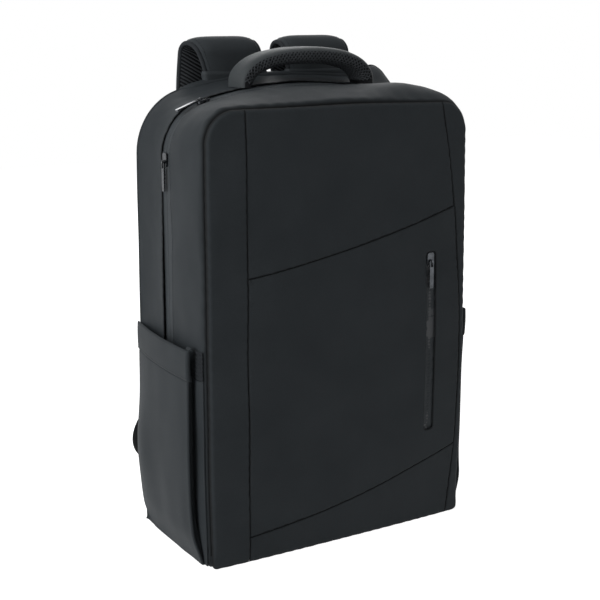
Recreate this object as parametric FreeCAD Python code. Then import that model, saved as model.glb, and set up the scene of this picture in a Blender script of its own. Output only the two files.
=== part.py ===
import FreeCAD, Part
import math
import os

V = FreeCAD.Vector

# School backpack, standing on its flat bottom. Millimetres, +Z up, +X to the right seen from the front,
# the front panel towards -Y and the back panel and shoulder straps towards +Y.
# The origin is the middle of the flat bottom.

# Body, without straps, handle, pads and side pockets
body_width = 300.0
body_depth = 145.0
shoulder_height = 441.0    # where the zip's top corner arcs would run level
front_shoulder_drop = 1.0  # the front seam's corners lie this much lower
rear_shoulder_rise = 8.0   # and the back edge's this much higher
bottom_corner = 12.0
front_corner = 38.0
zip_corner = 46.0
rear_corner = 62.0
front_crown = 2.5          # degrees of slope where the top's crown meets the corner arc
zip_crown = 15.0
rear_crown = 15.0
front_bulge = 9.0

# Walls
fabric_wall = 2.5
lining_wall = 0.8
back_panel_thickness = 8.0
tray_height = 14.0         # the bottom panel turns up this far all round
seam_gap = 0.3             # between pieces that move apart
hinge_setback = 1.5        # the opening's hinge line lies this far in front of the front seam

# Main zip
zip_setback = 75.0         # from the front seam to the middle of the zip
zip_band = 15.0
zip_recess = 1.0
zip_end_height = 60.0
teeth_gap = 0.3

# Front panel seams, heights at the left, in the middle and at the right
left_seam_inset = 42.0     # from the left edge
right_seam_insets = (20.0, 10.0, 38.0)  # from the right edge, at the bottom, in the middle and at the top
upper_seam_heights = (278.0, 300.0, 338.0)
lower_seam_heights = (22.0, 42.0, 82.0)

# Front pocket
pocket_zip_inset = 47.0    # from the right edge to the middle of the zip
pocket_zip_bottom = 100.0
pocket_zip_top = 288.0
pocket_zip_width = 11.0
pocket_zip_recess = 0.8
pouch_width = 190.0
pouch_bottom = 90.0
pouch_margin = 8.0
pouch_thickness = 3.0

# Zip sliders and their pulls
slider_length = 13.0
slider_width = 8.0
slider_plate = 2.0
slider_gap = 0.8
bail_radius = 1.6
bail_thickness = 1.6
pull_bar_radius = 0.65
pull_bar_clearance = 0.3
pull_pin_height = 1.5      # above the slider's plate
pull_pin_offset = 2.0      # along the zip from the slider's middle
slider_corner = 2.4
pull_corner = 1.44
pull_length = 28.0
pull_width = 4.8
pull_thickness = 1.4
pull_eye = 6.0

# Side pockets
pocket_top = 218.0
pocket_bottom = 5.0
pocket_stand_out = 11.5
pocket_rear_setback = 2.0
pocket_front_setback = 16.5
pocket_front_chamfer = (2.0, 4.0)
pocket_belly_share = 0.78  # of the stand-out, at the middle of the pocket's curve
pocket_belly_shift = 10.0
pocket_wall = 1.5
hem_height = 30.0
hem_wall = 2.4
elastic_wall = 1.6
side_gap = 0.3

# Inside
sleeve_side_gap = 19.0
sleeve_height = 300.0
sleeve_pad = 6.0
sleeve_pocket_depth = 20.0
sleeve_gusset_wall = 2.0
organiser_width = 210.0
organiser_height = 150.0
organiser_bottom = 120.0
organiser_thickness = 2.4
binding_height = 8.0

# Carry handle
handle_centre_x = 12.0
handle_span = 146.0
handle_setback = 20.5      # behind the main zip
handle_width = 30.0
handle_underside_rise = 21.0  # above the crown at the zip, like the next two
handle_top_rise = 35.0
handle_pivot_rise = 6.0
handle_mesh_thickness = 5.0
handle_swing = 30.0        # degrees each way that the roots leave room for
handle_root_gap = 0.4
handle_root_half = 7.0
handle_patch_thickness = 0.8
handle_patch_length = 28.0

# Shoulder straps
strap_inner_x = 17.0
strap_width = 75.0
strap_thickness = 10.0
strap_cover_thickness = 3.5
strap_fold_rise = 39.0     # above the crown at the back
strap_pad_gap = 1.5
strap_waist_drop = 60.0
strap_inner_bow = 4.0
strap_outer_bow = 6.0
strap_end_height = 178.0
strap_end_width = 48.0
strap_end_outer_x = 121.0
yoke_rise = 0.8            # above the crown at the back
yoke_margin = 1.5          # in front of and behind the strap
yoke_overhang = 4.0

# Ladder locks, webbing and the wings that anchor it
lock_bar_radius = 2.0
lock_bar_clearance = 0.4
lock_width = 34.0
lock_height = 25.0
lock_thickness = 4.0
lock_rail = 4.0
lock_cross_bar = 3.5
lock_cross_pitch = 9.0
loop_wall = 1.4
webbing_width = 25.0
webbing_thickness = 2.0
webbing_gap = 6.0
webbing_lean = 6.0
webbing_clearance = 0.1
wing_height = 60.0
wing_reach = 34.0
wing_bottom = 48.0
wing_thickness = 3.0
wing_inset = 3.0

# Back padding
pad_thickness = 9.0
pad_side_inset = 47.0
pad_channel = 22.0
pad_bottom = 96.0
pad_top_drop = 31.0        # below the shoulders
lumbar_bottom = 26.0
lumbar_height = 58.0
pad_corner = 14.0
pad_edge = 3.0

# Derived places
half_width = body_width / 2
front_y = -body_depth / 2
rear_y = body_depth / 2
zip_y = front_y + zip_setback
back_inner_y = rear_y - back_panel_thickness
front_inner_y = front_y + fabric_wall
pocket_zip_x = half_width - pocket_zip_inset
pocket_rear_y = rear_y - pocket_rear_setback
pocket_front_y = front_y + pocket_front_setback
handle_y = zip_y + handle_setback
pad_width = half_width - pad_side_inset - pad_channel / 2
strap_front_y = rear_y - yoke_margin - strap_thickness
strap_fold_depth = yoke_margin + pad_thickness + strap_pad_gap + 2 * strap_thickness
FAR = 1000.0

pieces = {}


def box(x0, x1, y0, y1, z0, z1):
    return Part.makeBox(x1 - x0, y1 - y0, z1 - z0, V(x0, y0, z0))


def line(a, b):
    return Part.makeLine(V(*a), V(*b))


def arc(a, m, b):
    return Part.Arc(V(*a), V(*m), V(*b)).toShape()


def prism(edges, direction):
    return Part.Face(Part.Wire(edges)).extrude(V(*direction))


def mirrored(shape):
    return shape.mirror(V(0, 0, 0), V(1, 0, 0))


def single(shape):
    solids = sorted(shape.Solids, key=lambda s: -s.Volume)
    return solids[0]


# The body's outline in a plane of constant y

def outline_sizes(corner, shoulder, crown, inset):
    radius = corner - inset
    centre_x = half_width - corner
    centre_z = shoulder - corner
    a = math.radians(crown)
    end_x = centre_x + radius * math.sin(a)
    end_z = centre_z + radius * math.cos(a)
    crown_radius = end_x / math.sin(a)
    top = end_z + crown_radius * (1 - math.cos(a))
    return radius, centre_x, centre_z, end_x, end_z, crown_radius, top


def outline(y, corner, shoulder, crown, inset=0.0):
    radius, cx, cz, ex, ez, crown_radius, top = outline_sizes(corner, shoulder, crown, inset)
    hw = half_width - inset
    low = bottom_corner
    small = low - inset
    d = math.sqrt(0.5)
    mid = math.radians(crown + (90 - crown) / 2)
    mx, mz = cx + radius * math.sin(mid), cz + radius * math.cos(mid)
    lx = hw - small
    return Part.Wire([
        line((-lx, y, inset), (lx, y, inset)),
        arc((lx, y, inset), (lx + small * d, y, low - small * d), (hw, y, low)),
        line((hw, y, low), (hw, y, cz)),
        arc((hw, y, cz), (mx, y, mz), (ex, y, ez)),
        arc((ex, y, ez), (0, y, top), (-ex, y, ez)),
        arc((-ex, y, ez), (-mx, y, mz), (-hw, y, cz)),
        line((-hw, y, cz), (-hw, y, low)),
        arc((-hw, y, low), (-lx - small * d, y, low - small * d), (-lx, y, inset)),
    ])


front_shape = (front_corner, shoulder_height - front_shoulder_drop, front_crown)
zip_shape = (zip_corner, shoulder_height, zip_crown)
rear_shape = (rear_corner, shoulder_height + rear_shoulder_rise, rear_crown)


def body(inset):
    wires = [
        outline(front_y, *front_shape, inset),
        outline(zip_y, *zip_shape, inset),
        outline(rear_y, *rear_shape, inset),
    ]
    return Part.makeLoft(wires, True, True)


def slab(y0, y1, z0=-FAR, z1=FAR):
    return box(-FAR, FAR, y0, y1, z0, z1)


def top_height(x, y):
    """Height of the crowned top above a point behind the zip."""
    heights = []
    for shape in (zip_shape, rear_shape):
        *_, crown_radius, top = outline_sizes(*shape, 0.0)
        heights.append(top - crown_radius + math.sqrt(crown_radius ** 2 - x ** 2))
    share = (y - zip_y) / (rear_y - zip_y)
    return heights[0] + share * (heights[1] - heights[0])


outer = body(0.0)
inner = body(fabric_wall)
lining_inner = body(fabric_wall + lining_wall)
wall = outer.cut(inner)
lining_skin = inner.cut(lining_inner)

front_top = outline_sizes(*front_shape, 0.0)[-1]

# Heights that sit on the crowned top, from its peak to the nearest millimetre
zip_peak = round(outline_sizes(*zip_shape, 0.0)[-1])
rear_peak = round(outline_sizes(*rear_shape, 0.0)[-1])
handle_underside = zip_peak + handle_underside_rise
handle_top = zip_peak + handle_top_rise
handle_pivot_height = zip_peak + handle_pivot_rise
yoke_top = rear_peak + yoke_rise
strap_fold_top = rear_peak + strap_fold_rise


# Front panel: a crowned sheet, sewn from two side strips and three panels

def bulged(half_chord, past):
    """How far a shallow arc over a chord has fallen behind the chord, past its ends, and the arc's radius."""
    radius = (half_chord ** 2 + front_bulge ** 2) / (2 * front_bulge)
    return radius - front_bulge - math.sqrt(radius ** 2 - (half_chord + past) ** 2)


def crown_limit(shift):
    """Everything behind the crowned front surface, moved back by shift, past the outline on all sides."""
    past = 6.0
    y = front_y + shift
    back = y + 60
    mid_z = front_top / 2
    y_side = y + bulged(half_width, past)
    y_end = y + bulged(mid_z, past)
    x = half_width + past
    z0, z1 = -past, front_top + past
    across = prism([
        arc((-x, y_side, z0 - 1), (0, y - front_bulge, z0 - 1), (x, y_side, z0 - 1)),
        line((x, y_side, z0 - 1), (x, back, z0 - 1)),
        line((x, back, z0 - 1), (-x, back, z0 - 1)),
        line((-x, back, z0 - 1), (-x, y_side, z0 - 1)),
    ], (0, 0, z1 - z0 + 2))
    upright = prism([
        arc((-x - 1, y_end, z0), (-x - 1, y - front_bulge, mid_z), (-x - 1, y_end, z1)),
        line((-x - 1, y_end, z1), (-x - 1, back + 1, z1)),
        line((-x - 1, back + 1, z1), (-x - 1, back + 1, z0)),
        line((-x - 1, back + 1, z0), (-x - 1, y_end, z0)),
    ], (2 * x + 2, 0, 0))
    return across.common(upright)


front_block = Part.Face(outline(front_y - front_bulge - 1, *front_shape)).extrude(
    V(0, front_bulge + 1 + fabric_wall, 0))
front_skin = front_block.common(crown_limit(0.0)).cut(crown_limit(fabric_wall))


def through(edges):
    """A cutter seen from the front, from edges drawn at y = -FAR."""
    return prism(edges, (0, 2 * FAR, 0))


def under_seam(heights):
    """Everything on the front panel under a curved seam."""
    y = -FAR
    left, middle, right = heights
    return through([
        arc((-half_width, y, left), (0, y, middle), (half_width, y, right)),
        line((half_width, y, right), (half_width, y, -FAR)),
        line((half_width, y, -FAR), (-half_width, y, -FAR)),
        line((-half_width, y, -FAR), (-half_width, y, left)),
    ])


left_seam_x = -half_width + left_seam_inset
right_seam_bottom_x, right_seam_middle_x, right_seam_top_x = [
    half_width - inset for inset in right_seam_insets]
right_of_seam = through([
    arc((right_seam_bottom_x, -FAR, -10), (right_seam_middle_x, -FAR, front_top / 2),
        (right_seam_top_x, -FAR, front_top + 10)),
    line((right_seam_top_x, -FAR, front_top + 10), (FAR, -FAR, front_top + 10)),
    line((FAR, -FAR, front_top + 10), (FAR, -FAR, -10)),
    line((FAR, -FAR, -10), (right_seam_bottom_x, -FAR, -10)),
])
left_of_seam = box(-FAR, left_seam_x, -FAR, FAR, -10, FAR)
front_moving = front_skin.common(slab(-FAR, FAR, tray_height + seam_gap, FAR))
middle_part = front_moving.cut(right_of_seam).cut(left_of_seam)
under_lower = under_seam(lower_seam_heights)
under_upper = under_seam(upper_seam_heights)
zip_slot = box(pocket_zip_x - pocket_zip_width / 2, pocket_zip_x + pocket_zip_width / 2,
               -FAR, FAR, pocket_zip_bottom, pocket_zip_top)

pieces["front_strip_left"] = front_moving.common(left_of_seam)
pieces["front_strip_right"] = front_moving.common(right_of_seam)
pieces["front_panel_lower"] = middle_part.common(under_lower)
pieces["front_panel_middle"] = middle_part.common(under_upper).cut(under_lower).cut(zip_slot)
pieces["front_panel_upper"] = middle_part.cut(under_upper)
pieces["front_pocket_zip"] = middle_part.common(zip_slot).common(crown_limit(pocket_zip_recess))

# Gussets round the sides and top, and the two halves of the main zip
zip_front_y = zip_y - zip_band / 2
zip_rear_y = zip_y + zip_band / 2
above_tray = slab(-FAR, FAR, tray_height, FAR)
above_hinge = slab(-FAR, FAR, tray_height + seam_gap, FAR)
below_zip_end = slab(-FAR, FAR, -FAR, zip_end_height)

front_span = slab(front_inner_y, zip_front_y).fuse(
    slab(front_inner_y, zip_y - teeth_gap / 2).common(below_zip_end))
rear_span = slab(zip_rear_y, back_inner_y).fuse(
    slab(zip_y + teeth_gap / 2, back_inner_y).common(below_zip_end))
pieces["front_gusset"] = wall.common(front_span).common(above_hinge)
pieces["rear_gusset"] = wall.common(rear_span).common(above_tray)

zip_skin = body(zip_recess).cut(inner)
above_zip_end = slab(-FAR, FAR, zip_end_height, FAR)
pieces["main_zip_front_half"] = zip_skin.common(
    slab(zip_front_y, zip_y - teeth_gap / 2)).common(above_zip_end)
pieces["main_zip_rear_half"] = zip_skin.common(
    slab(zip_y + teeth_gap / 2, zip_rear_y)).common(above_zip_end)

# Back panel and bottom tray
pieces["back_panel"] = outer.common(slab(back_inner_y, rear_y))
tray_wall = wall.common(slab(front_y + fabric_wall / 2, back_inner_y, -FAR, tray_height))
tray_front = front_skin.common(slab(-FAR, FAR, -FAR, tray_height))
pieces["bottom_panel"] = tray_wall.fuse(tray_front).removeSplitter()

# Lining, one part in each half of the bag
rear_lining_span = slab(zip_y + teeth_gap / 2, back_inner_y).fuse(
    slab(front_inner_y, back_inner_y, -FAR, tray_height))
pieces["rear_lining"] = lining_skin.common(rear_lining_span).removeSplitter()
pieces["front_lining"] = lining_skin.common(
    slab(front_inner_y, zip_y - teeth_gap / 2)).common(above_hinge)

# Padded laptop sleeve against the back panel
sleeve_floor = fabric_wall + lining_wall
sleeve_front_y = back_inner_y - sleeve_pocket_depth
sleeve_half = half_width - sleeve_side_gap
pieces["laptop_sleeve_pad"] = box(-sleeve_half, sleeve_half, sleeve_front_y - sleeve_pad, sleeve_front_y,
                                  sleeve_floor, sleeve_floor + sleeve_height)
sleeve_outside = box(-sleeve_half, sleeve_half, sleeve_front_y, back_inner_y,
                     sleeve_floor, sleeve_floor + sleeve_height)
sleeve_hollow = box(-sleeve_half + sleeve_gusset_wall, sleeve_half - sleeve_gusset_wall,
                    sleeve_front_y - 1, back_inner_y + 1, sleeve_floor + sleeve_gusset_wall, FAR)
pieces["laptop_sleeve_gusset"] = sleeve_outside.cut(sleeve_hollow)
sleeve_top = sleeve_floor + sleeve_height
pieces["laptop_sleeve_binding"] = box(-sleeve_half, sleeve_half, sleeve_front_y - sleeve_pad,
                                      sleeve_front_y, sleeve_top, sleeve_top + binding_height)

# Front pocket's pouch and the organiser, flat against the inside of the front panel
pouch_right = pocket_zip_x + pocket_zip_width
organiser_back = fabric_wall + pouch_thickness
organiser_top = organiser_bottom + organiser_height


def crowned_sheet(depth, thickness, x0, x1, z0, z1):
    """A sheet that follows the front panel's crown at a depth behind its outer face."""
    return crown_limit(depth).cut(crown_limit(depth + thickness)).common(box(x0, x1, -FAR, FAR, z0, z1))


pieces["front_pocket_pouch"] = crowned_sheet(
    fabric_wall, pouch_thickness, pouch_right - pouch_width, pouch_right, pouch_bottom,
    pocket_zip_top + pouch_margin)
pieces["organiser_panel"] = crowned_sheet(
    organiser_back, organiser_thickness, -organiser_width / 2, organiser_width / 2,
    organiser_bottom, organiser_top)
pieces["organiser_binding"] = crowned_sheet(
    organiser_back, organiser_thickness, -organiser_width / 2, organiser_width / 2,
    organiser_top, organiser_top + binding_height)


# Zip sliders: a plate with a bail, and a pull that turns in it

def placed(shape, origin, along, out):
    """Moves a shape drawn with +X along the zip and +Z off the surface to its place."""
    across = out.cross(along)
    matrix = FreeCAD.Matrix(along.x, across.x, out.x, origin.x,
                            along.y, across.y, out.y, origin.y,
                            along.z, across.z, out.z, origin.z, 0, 0, 0, 1)
    return shape.transformed(matrix)


pin_height = slider_gap + slider_plate + pull_pin_height


def slider_body():
    plate = Part.makeBox(slider_length, slider_width, slider_plate,
                         V(-slider_length / 2, -slider_width / 2, slider_gap))
    corners = [e for e in plate.Edges if abs(e.BoundBox.ZLength - slider_plate) < 1e-6]
    plate = plate.makeFillet(slider_corner, corners)
    bail = Part.makeCylinder(bail_radius, bail_thickness, V(pull_pin_offset, -bail_thickness / 2, pin_height),
                             V(0, 1, 0))
    foot = Part.makeBox(2 * bail_radius, bail_thickness, pin_height - slider_gap - slider_plate / 2,
                        V(pull_pin_offset - bail_radius, -bail_thickness / 2, slider_gap + slider_plate / 2))
    hole = Part.makeCylinder(pull_bar_radius + pull_bar_clearance, 2 * bail_thickness,
                             V(pull_pin_offset, -bail_thickness, pin_height), V(0, 1, 0))
    return plate.fuse(bail.fuse(foot)).removeSplitter().cut(hole)


def slider_pull():
    half = pull_width / 2
    bar = Part.makeCylinder(pull_bar_radius, pull_width, V(0, -half, 0), V(0, 1, 0))
    arm_width = half - bail_thickness / 2 - 2 * pull_bar_clearance
    low = -pull_thickness / 2
    arm = Part.makeBox(pull_eye + 1, arm_width, 2 * pull_bar_radius, V(0, half - arm_width, -pull_bar_radius))
    other = Part.makeBox(pull_eye + 1, arm_width, 2 * pull_bar_radius, V(0, -half, -pull_bar_radius))
    tag = Part.makeBox(pull_length - pull_eye, pull_width, pull_thickness, V(pull_eye, -half, low))
    ends = [e for e in tag.Edges if abs(e.BoundBox.ZLength - pull_thickness) < 1e-6]
    tag = tag.makeFillet(pull_corner, ends)
    return bar.fuse([arm, other, tag]).removeSplitter()


def add_slider(name, surface_point, along, out, pull_direction):
    slider = placed(slider_body(), surface_point, along, out)
    pivot = surface_point + along * pull_pin_offset + out * pin_height
    across = out.cross(along)
    pull_out = pull_direction.cross(across)
    pieces[name] = slider
    pieces[name + "_pull"] = placed(slider_pull(), pivot, pull_direction, pull_out)
    print(name, "pivot", [round(c, 3) for c in pivot])


down = V(0, 0, -1)
_, _, zip_corner_z, _, _, zip_crown_radius, zip_top = outline_sizes(*zip_shape, zip_recess)

# The lower slider waits at the top of the left side's straight run
lower_point = V(-half_width + zip_recess, zip_y, zip_corner_z - slider_length / 2)
add_slider("lower_slider", lower_point, down, V(-1, 0, 0), down)

# The upper slider waits at the left end of the crown, its pull hanging over the corner
crown_centre_z = zip_top - zip_crown_radius
half_slider_angle = math.degrees(slider_length / 2 / zip_crown_radius)
park = math.radians(zip_crown - half_slider_angle)
upper_out = V(-math.sin(park), 0, math.cos(park))
upper_along = V(-math.cos(park), 0, -math.sin(park))
upper_point = V(0, zip_y, crown_centre_z) + upper_out * zip_crown_radius
lean = math.asin((pin_height - pull_thickness / 2 - seam_gap) / pull_length)
upper_pull_direction = upper_along * math.cos(lean) - upper_out * math.sin(lean)
add_slider("upper_slider", upper_point, upper_along, upper_out, upper_pull_direction)
print("upper slider turns about x 0, z", round(crown_centre_z, 3), "from", round(math.degrees(park), 2))

# The front pocket's slider waits at the top of its zip
pocket_surface = front_y + pocket_zip_recess - front_bulge * (1 - (pocket_zip_x / half_width) ** 2)
pocket_point = V(pocket_zip_x, pocket_surface, pocket_zip_top - slider_length / 2 - 1)
add_slider("front_pocket_slider", pocket_point, down, V(0, -1, 0), down)


# Side pockets: an outer skin that stands out towards the front, turned in at its front and bottom

def pocket_profile(z, inset):
    x_in = -half_width - side_gap
    stand = pocket_stand_out - inset
    front = pocket_front_y + inset
    rear = pocket_rear_y - 3 * inset
    middle = (front + rear) / 2
    chamfer_x, chamfer_y = pocket_front_chamfer
    belly = x_in - stand * pocket_belly_share
    return [
        line((x_in, front, z), (x_in - stand + chamfer_x, front, z)),
        line((x_in - stand + chamfer_x, front, z), (x_in - stand, front + chamfer_y, z)),
        arc((x_in - stand, front + chamfer_y, z), (belly, middle + pocket_belly_shift, z), (x_in, rear, z)),
        line((x_in, rear, z), (x_in, front, z)),
    ]


def pocket_block(inset, z0, z1):
    return prism(pocket_profile(z0, inset), (0, 0, z1 - z0))


hem_bottom = pocket_top - hem_height
pocket_shell = pocket_block(0.0, pocket_bottom, hem_bottom).cut(
    pocket_block(pocket_wall, pocket_bottom + pocket_wall, hem_bottom + 1))
pocket_hem = pocket_block(0.0, hem_bottom, pocket_top).cut(
    pocket_block(hem_wall, hem_bottom - 1, pocket_top + 1))
elastic = box(-half_width - side_gap - elastic_wall, -half_width - side_gap, front_inner_y,
              pocket_front_y, hem_bottom, pocket_top)
for side, place in (("left", lambda s: s), ("right", mirrored)):
    pieces[side + "_side_pocket"] = place(pocket_shell)
    pieces[side + "_pocket_hem"] = place(pocket_hem)
    pieces[side + "_pocket_elastic"] = place(elastic)


# Carry handle: a padded arch with a mesh underside, on two sewn patches
handle_half = handle_span / 2
handle_left = handle_centre_x - handle_half
handle_right = handle_centre_x + handle_half


def arch(top, half, low):
    """The area under an arch, as a solid as wide as the handle."""
    y = handle_y - handle_width / 2
    a = (handle_centre_x - half, y, low)
    b = (handle_centre_x + half, y, low)
    return prism([arc(a, (handle_centre_x, y, top), b), line(b, a)], (0, handle_width, 0))


handle_low = shoulder_height
cover_bottom = handle_underside + handle_mesh_thickness
handle_outer = arch(handle_top, handle_half + handle_root_half, handle_low)
handle_split = arch(cover_bottom, handle_half - 1, handle_low)
handle_inner = arch(handle_underside, handle_half - handle_root_half, handle_low)


def root_end(x0, x1):
    """Rounded about the pivot, just clear of the sewn patch below it."""
    surface = max(top_height(x, handle_y + handle_root_half) for x in (x0, x1))
    radius = handle_pivot_height - surface - handle_patch_thickness - handle_root_gap
    return Part.makeCylinder(radius, x1 - x0, V(x0, handle_y, handle_pivot_height), V(1, 0, 0))


def swing_room():
    """Above two planes that meet the top's highest point under the handle when the handle has swung."""
    highest = top_height(handle_left + handle_span / 4, handle_y + handle_width / 2) + handle_patch_thickness
    height = handle_pivot_height - highest - handle_root_gap
    a = math.radians(handle_swing)
    x, low_z = -FAR, handle_pivot_height - height / math.cos(a)
    rise = FAR * math.tan(a)
    return prism([
        line((x, handle_y, low_z), (x, handle_y + FAR, low_z + rise)),
        line((x, handle_y + FAR, low_z + rise), (x, handle_y - FAR, low_z + rise)),
        line((x, handle_y - FAR, low_z + rise), (x, handle_y, low_z)),
    ], (2 * FAR, 0, 0)).common(slab(-FAR, FAR, handle_pivot_height - height, FAR))


left_end = root_end(handle_left - 2 * handle_root_half, handle_left + handle_root_half)
right_end = root_end(handle_right - handle_root_half, handle_right + 2 * handle_root_half)
handle_room = swing_room().fuse([left_end, right_end])
pieces["handle_cover"] = single(handle_outer.cut(handle_split).common(handle_room))
pieces["handle_mesh"] = single(handle_split.cut(handle_inner).common(handle_room))
for side, x in (("left", handle_left), ("right", handle_right)):
    patch = box(x - handle_patch_length / 2, x + handle_patch_length / 2, handle_y - handle_width / 2,
                handle_y + handle_width / 2, shoulder_height - zip_corner / 2, FAR)
    lifted = outer.copy()
    lifted.translate(V(0, 0, handle_patch_thickness))
    pieces["handle_patch_" + side] = single(patch.common(lifted).cut(outer))

# Shoulder straps: up from the yoke, over a fold and down behind the back pads
fold_radius = (strap_fold_depth - strap_thickness) / 2
strap_mid_y = strap_front_y + strap_thickness / 2
fold_y = strap_mid_y + fold_radius
fold_z = strap_fold_top - fold_radius - strap_thickness / 2
strap_pivot_z = yoke_top + seam_gap + strap_thickness / 2


def strap_band(inside, outside):
    """The strap's section between two offsets from its middle, positive outwards of the fold."""
    x = -FAR

    def leg(offset):
        r = fold_radius + offset
        return r, (x, fold_y - r, strap_pivot_z), (x, fold_y - r, fold_z), (x, fold_y + r, fold_z), (
            x, fold_y + r, strap_end_height)

    r0, a0, b0, c0, d0 = leg(inside)
    r1, a1, b1, c1, d1 = leg(outside)
    return prism([
        line(a0, b0), arc(b0, (x, fold_y, fold_z + r0), c0), line(c0, d0), line(d0, d1),
        line(d1, c1), arc(c1, (x, fold_y, fold_z + r1), b1), line(b1, a1), line(a1, a0),
    ], (2 * FAR, 0, 0))


strap_outer_x = strap_inner_x + strap_width
strap_end_inner_x = strap_end_outer_x - strap_end_width
waist_z = fold_z - strap_waist_drop
mid_z = (waist_z + strap_end_height) / 2
high = strap_fold_top + 10
y = -FAR
strap_plan = prism([
    line((-strap_outer_x, y, high), (-strap_inner_x, y, high)),
    line((-strap_inner_x, y, high), (-strap_inner_x, y, waist_z)),
    arc((-strap_inner_x, y, waist_z), (-(strap_inner_x + strap_end_inner_x) / 2 + strap_inner_bow, y, mid_z),
        (-strap_end_inner_x, y, strap_end_height)),
    line((-strap_end_inner_x, y, strap_end_height), (-strap_end_outer_x, y, strap_end_height)),
    arc((-strap_end_outer_x, y, strap_end_height),
        (-(strap_outer_x + strap_end_outer_x) / 2 - strap_outer_bow, y, mid_z), (-strap_outer_x, y, waist_z)),
    line((-strap_outer_x, y, waist_z), (-strap_outer_x, y, high)),
], (0, 2 * FAR, 0))
cover_edge = strap_thickness / 2 - strap_cover_thickness
strap_root = Part.makeCylinder(strap_thickness / 2, strap_width, V(-strap_outer_x, strap_mid_y, strap_pivot_z),
                               V(1, 0, 0)).common(slab(-FAR, FAR, -FAR, strap_pivot_z))
strap_cover = strap_band(cover_edge, strap_thickness / 2).common(strap_plan).fuse(strap_root)
strap_mesh = strap_band(-strap_thickness / 2, cover_edge).common(strap_plan)

# Ladder lock: a frame that turns on its top bar in the strap's sewn loop
lock_x = -(strap_end_outer_x + strap_end_inner_x) / 2
lock_y = fold_y + fold_radius
loop_outer = lock_bar_radius + lock_bar_clearance + loop_wall
bar_z = strap_end_height - loop_outer - 1
loop_width = webbing_width - 2


def along_x(radius, x0, x1, z):
    return Part.makeCylinder(radius, x1 - x0, V(x0, lock_y, z), V(1, 0, 0))


loop_x0, loop_x1 = lock_x - loop_width / 2, lock_x + loop_width / 2
strap_loop = along_x(loop_outer, loop_x0, loop_x1, bar_z).fuse(
    box(loop_x0, loop_x1, lock_y - loop_outer, lock_y + loop_outer, bar_z, strap_end_height))
strap_loop = strap_loop.cut(along_x(lock_bar_radius + lock_bar_clearance, loop_x0 - 1, loop_x1 + 1, bar_z))
lock_x0, lock_x1 = lock_x - lock_width / 2, lock_x + lock_width / 2
lock_low = bar_z - lock_height
half_lock = lock_thickness / 2
rails = [box(x0, x0 + lock_rail, lock_y - half_lock, lock_y + half_lock, lock_low, bar_z + lock_bar_radius)
         for x0 in (lock_x0, lock_x1 - lock_rail)]
cross_bars = [box(lock_x0, lock_x1, lock_y - half_lock, lock_y + half_lock, z, z + lock_cross_bar)
              for z in (lock_low, lock_low + lock_cross_pitch)]
ladder_lock = along_x(lock_bar_radius, lock_x0, lock_x1, bar_z).fuse(rails + cross_bars).removeSplitter()

# Webbing from the wing sewn into the back panel's side seam up to the lock
wing_tip_z = wing_bottom + wing_height / 2
wing_root_x = -half_width + wing_inset
wing = prism([
    line((wing_root_x, rear_y, wing_bottom), (wing_root_x, rear_y, wing_bottom + wing_height)),
    line((wing_root_x, rear_y, wing_bottom + wing_height),
         (wing_root_x + wing_reach, rear_y, wing_tip_z + webbing_width / 2)),
    line((wing_root_x + wing_reach, rear_y, wing_tip_z + webbing_width / 2),
         (wing_root_x + wing_reach, rear_y, wing_tip_z - webbing_width / 2)),
    line((wing_root_x + wing_reach, rear_y, wing_tip_z - webbing_width / 2), (wing_root_x, rear_y, wing_bottom)),
], (0, wing_thickness, 0))
webbing_start_y = rear_y + wing_thickness + webbing_thickness / 2 + webbing_clearance
webbing_start = V(wing_root_x + wing_reach / 2, webbing_start_y, wing_tip_z)
webbing_end = V(lock_x - webbing_lean, lock_y, lock_low - webbing_gap)


def strip(start, end, width, thickness):
    run = end - start
    along = run.normalize()
    length = start.distanceToPoint(end)
    across = V(0, 1, 0).cross(along).normalize()
    out = along.cross(across)
    flat = Part.makeBox(length, width, thickness, V(0, -width / 2, -thickness / 2))
    return placed(flat, start, along, out)


webbing = strip(webbing_start, webbing_end, webbing_width, webbing_thickness)

for side, place in (("left", lambda s: s), ("right", mirrored)):
    pieces[side + "_strap_cover"] = place(strap_cover)
    pieces[side + "_strap_mesh"] = place(strap_mesh)
    pieces[side + "_strap_loop"] = place(strap_loop)
    pieces[side + "_ladder_lock"] = place(ladder_lock)
    pieces[side + "_webbing"] = place(webbing)
    pieces[side + "_webbing_wing"] = place(wing)

# Yoke that the straps are sewn into, filling the crown's fall at each side
yoke_half = strap_outer_x + yoke_overhang
yoke_front = strap_mid_y - strap_thickness / 2 - yoke_margin
yoke_depth = strap_thickness + 2 * yoke_margin
pieces["strap_yoke"] = single(box(-yoke_half, yoke_half, yoke_front, yoke_front + yoke_depth,
                                  shoulder_height - 40, yoke_top).cut(outer))


# Mesh back pads
def back_pad(x0, x1, z0, z1):
    pad = box(x0, x1, rear_y, rear_y + pad_thickness, z0, z1)
    corners = [e for e in pad.Edges if abs(e.BoundBox.YLength - pad_thickness) < 1e-6]
    pad = pad.makeFillet(pad_corner, corners)
    face = [e for e in pad.Edges if e.BoundBox.YMin > rear_y + pad_thickness - 1e-6]
    return pad.makeFillet(pad_edge, face)


pad_top = shoulder_height - pad_top_drop
pieces["back_pad_left"] = back_pad(-pad_channel / 2 - pad_width, -pad_channel / 2, pad_bottom, pad_top)
pieces["back_pad_right"] = back_pad(pad_channel / 2, pad_channel / 2 + pad_width, pad_bottom, pad_top)
pieces["lumbar_pad"] = back_pad(-pad_width, pad_width, lumbar_bottom, lumbar_bottom + lumbar_height)

print("front opens about y", front_y - hinge_setback, "z", tray_height + seam_gap / 2)
print("handle pivot", handle_y, handle_pivot_height, "strap pivot", strap_mid_y, strap_pivot_z)
print("lock pivot", lock_x, lock_y, bar_z)

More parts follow.
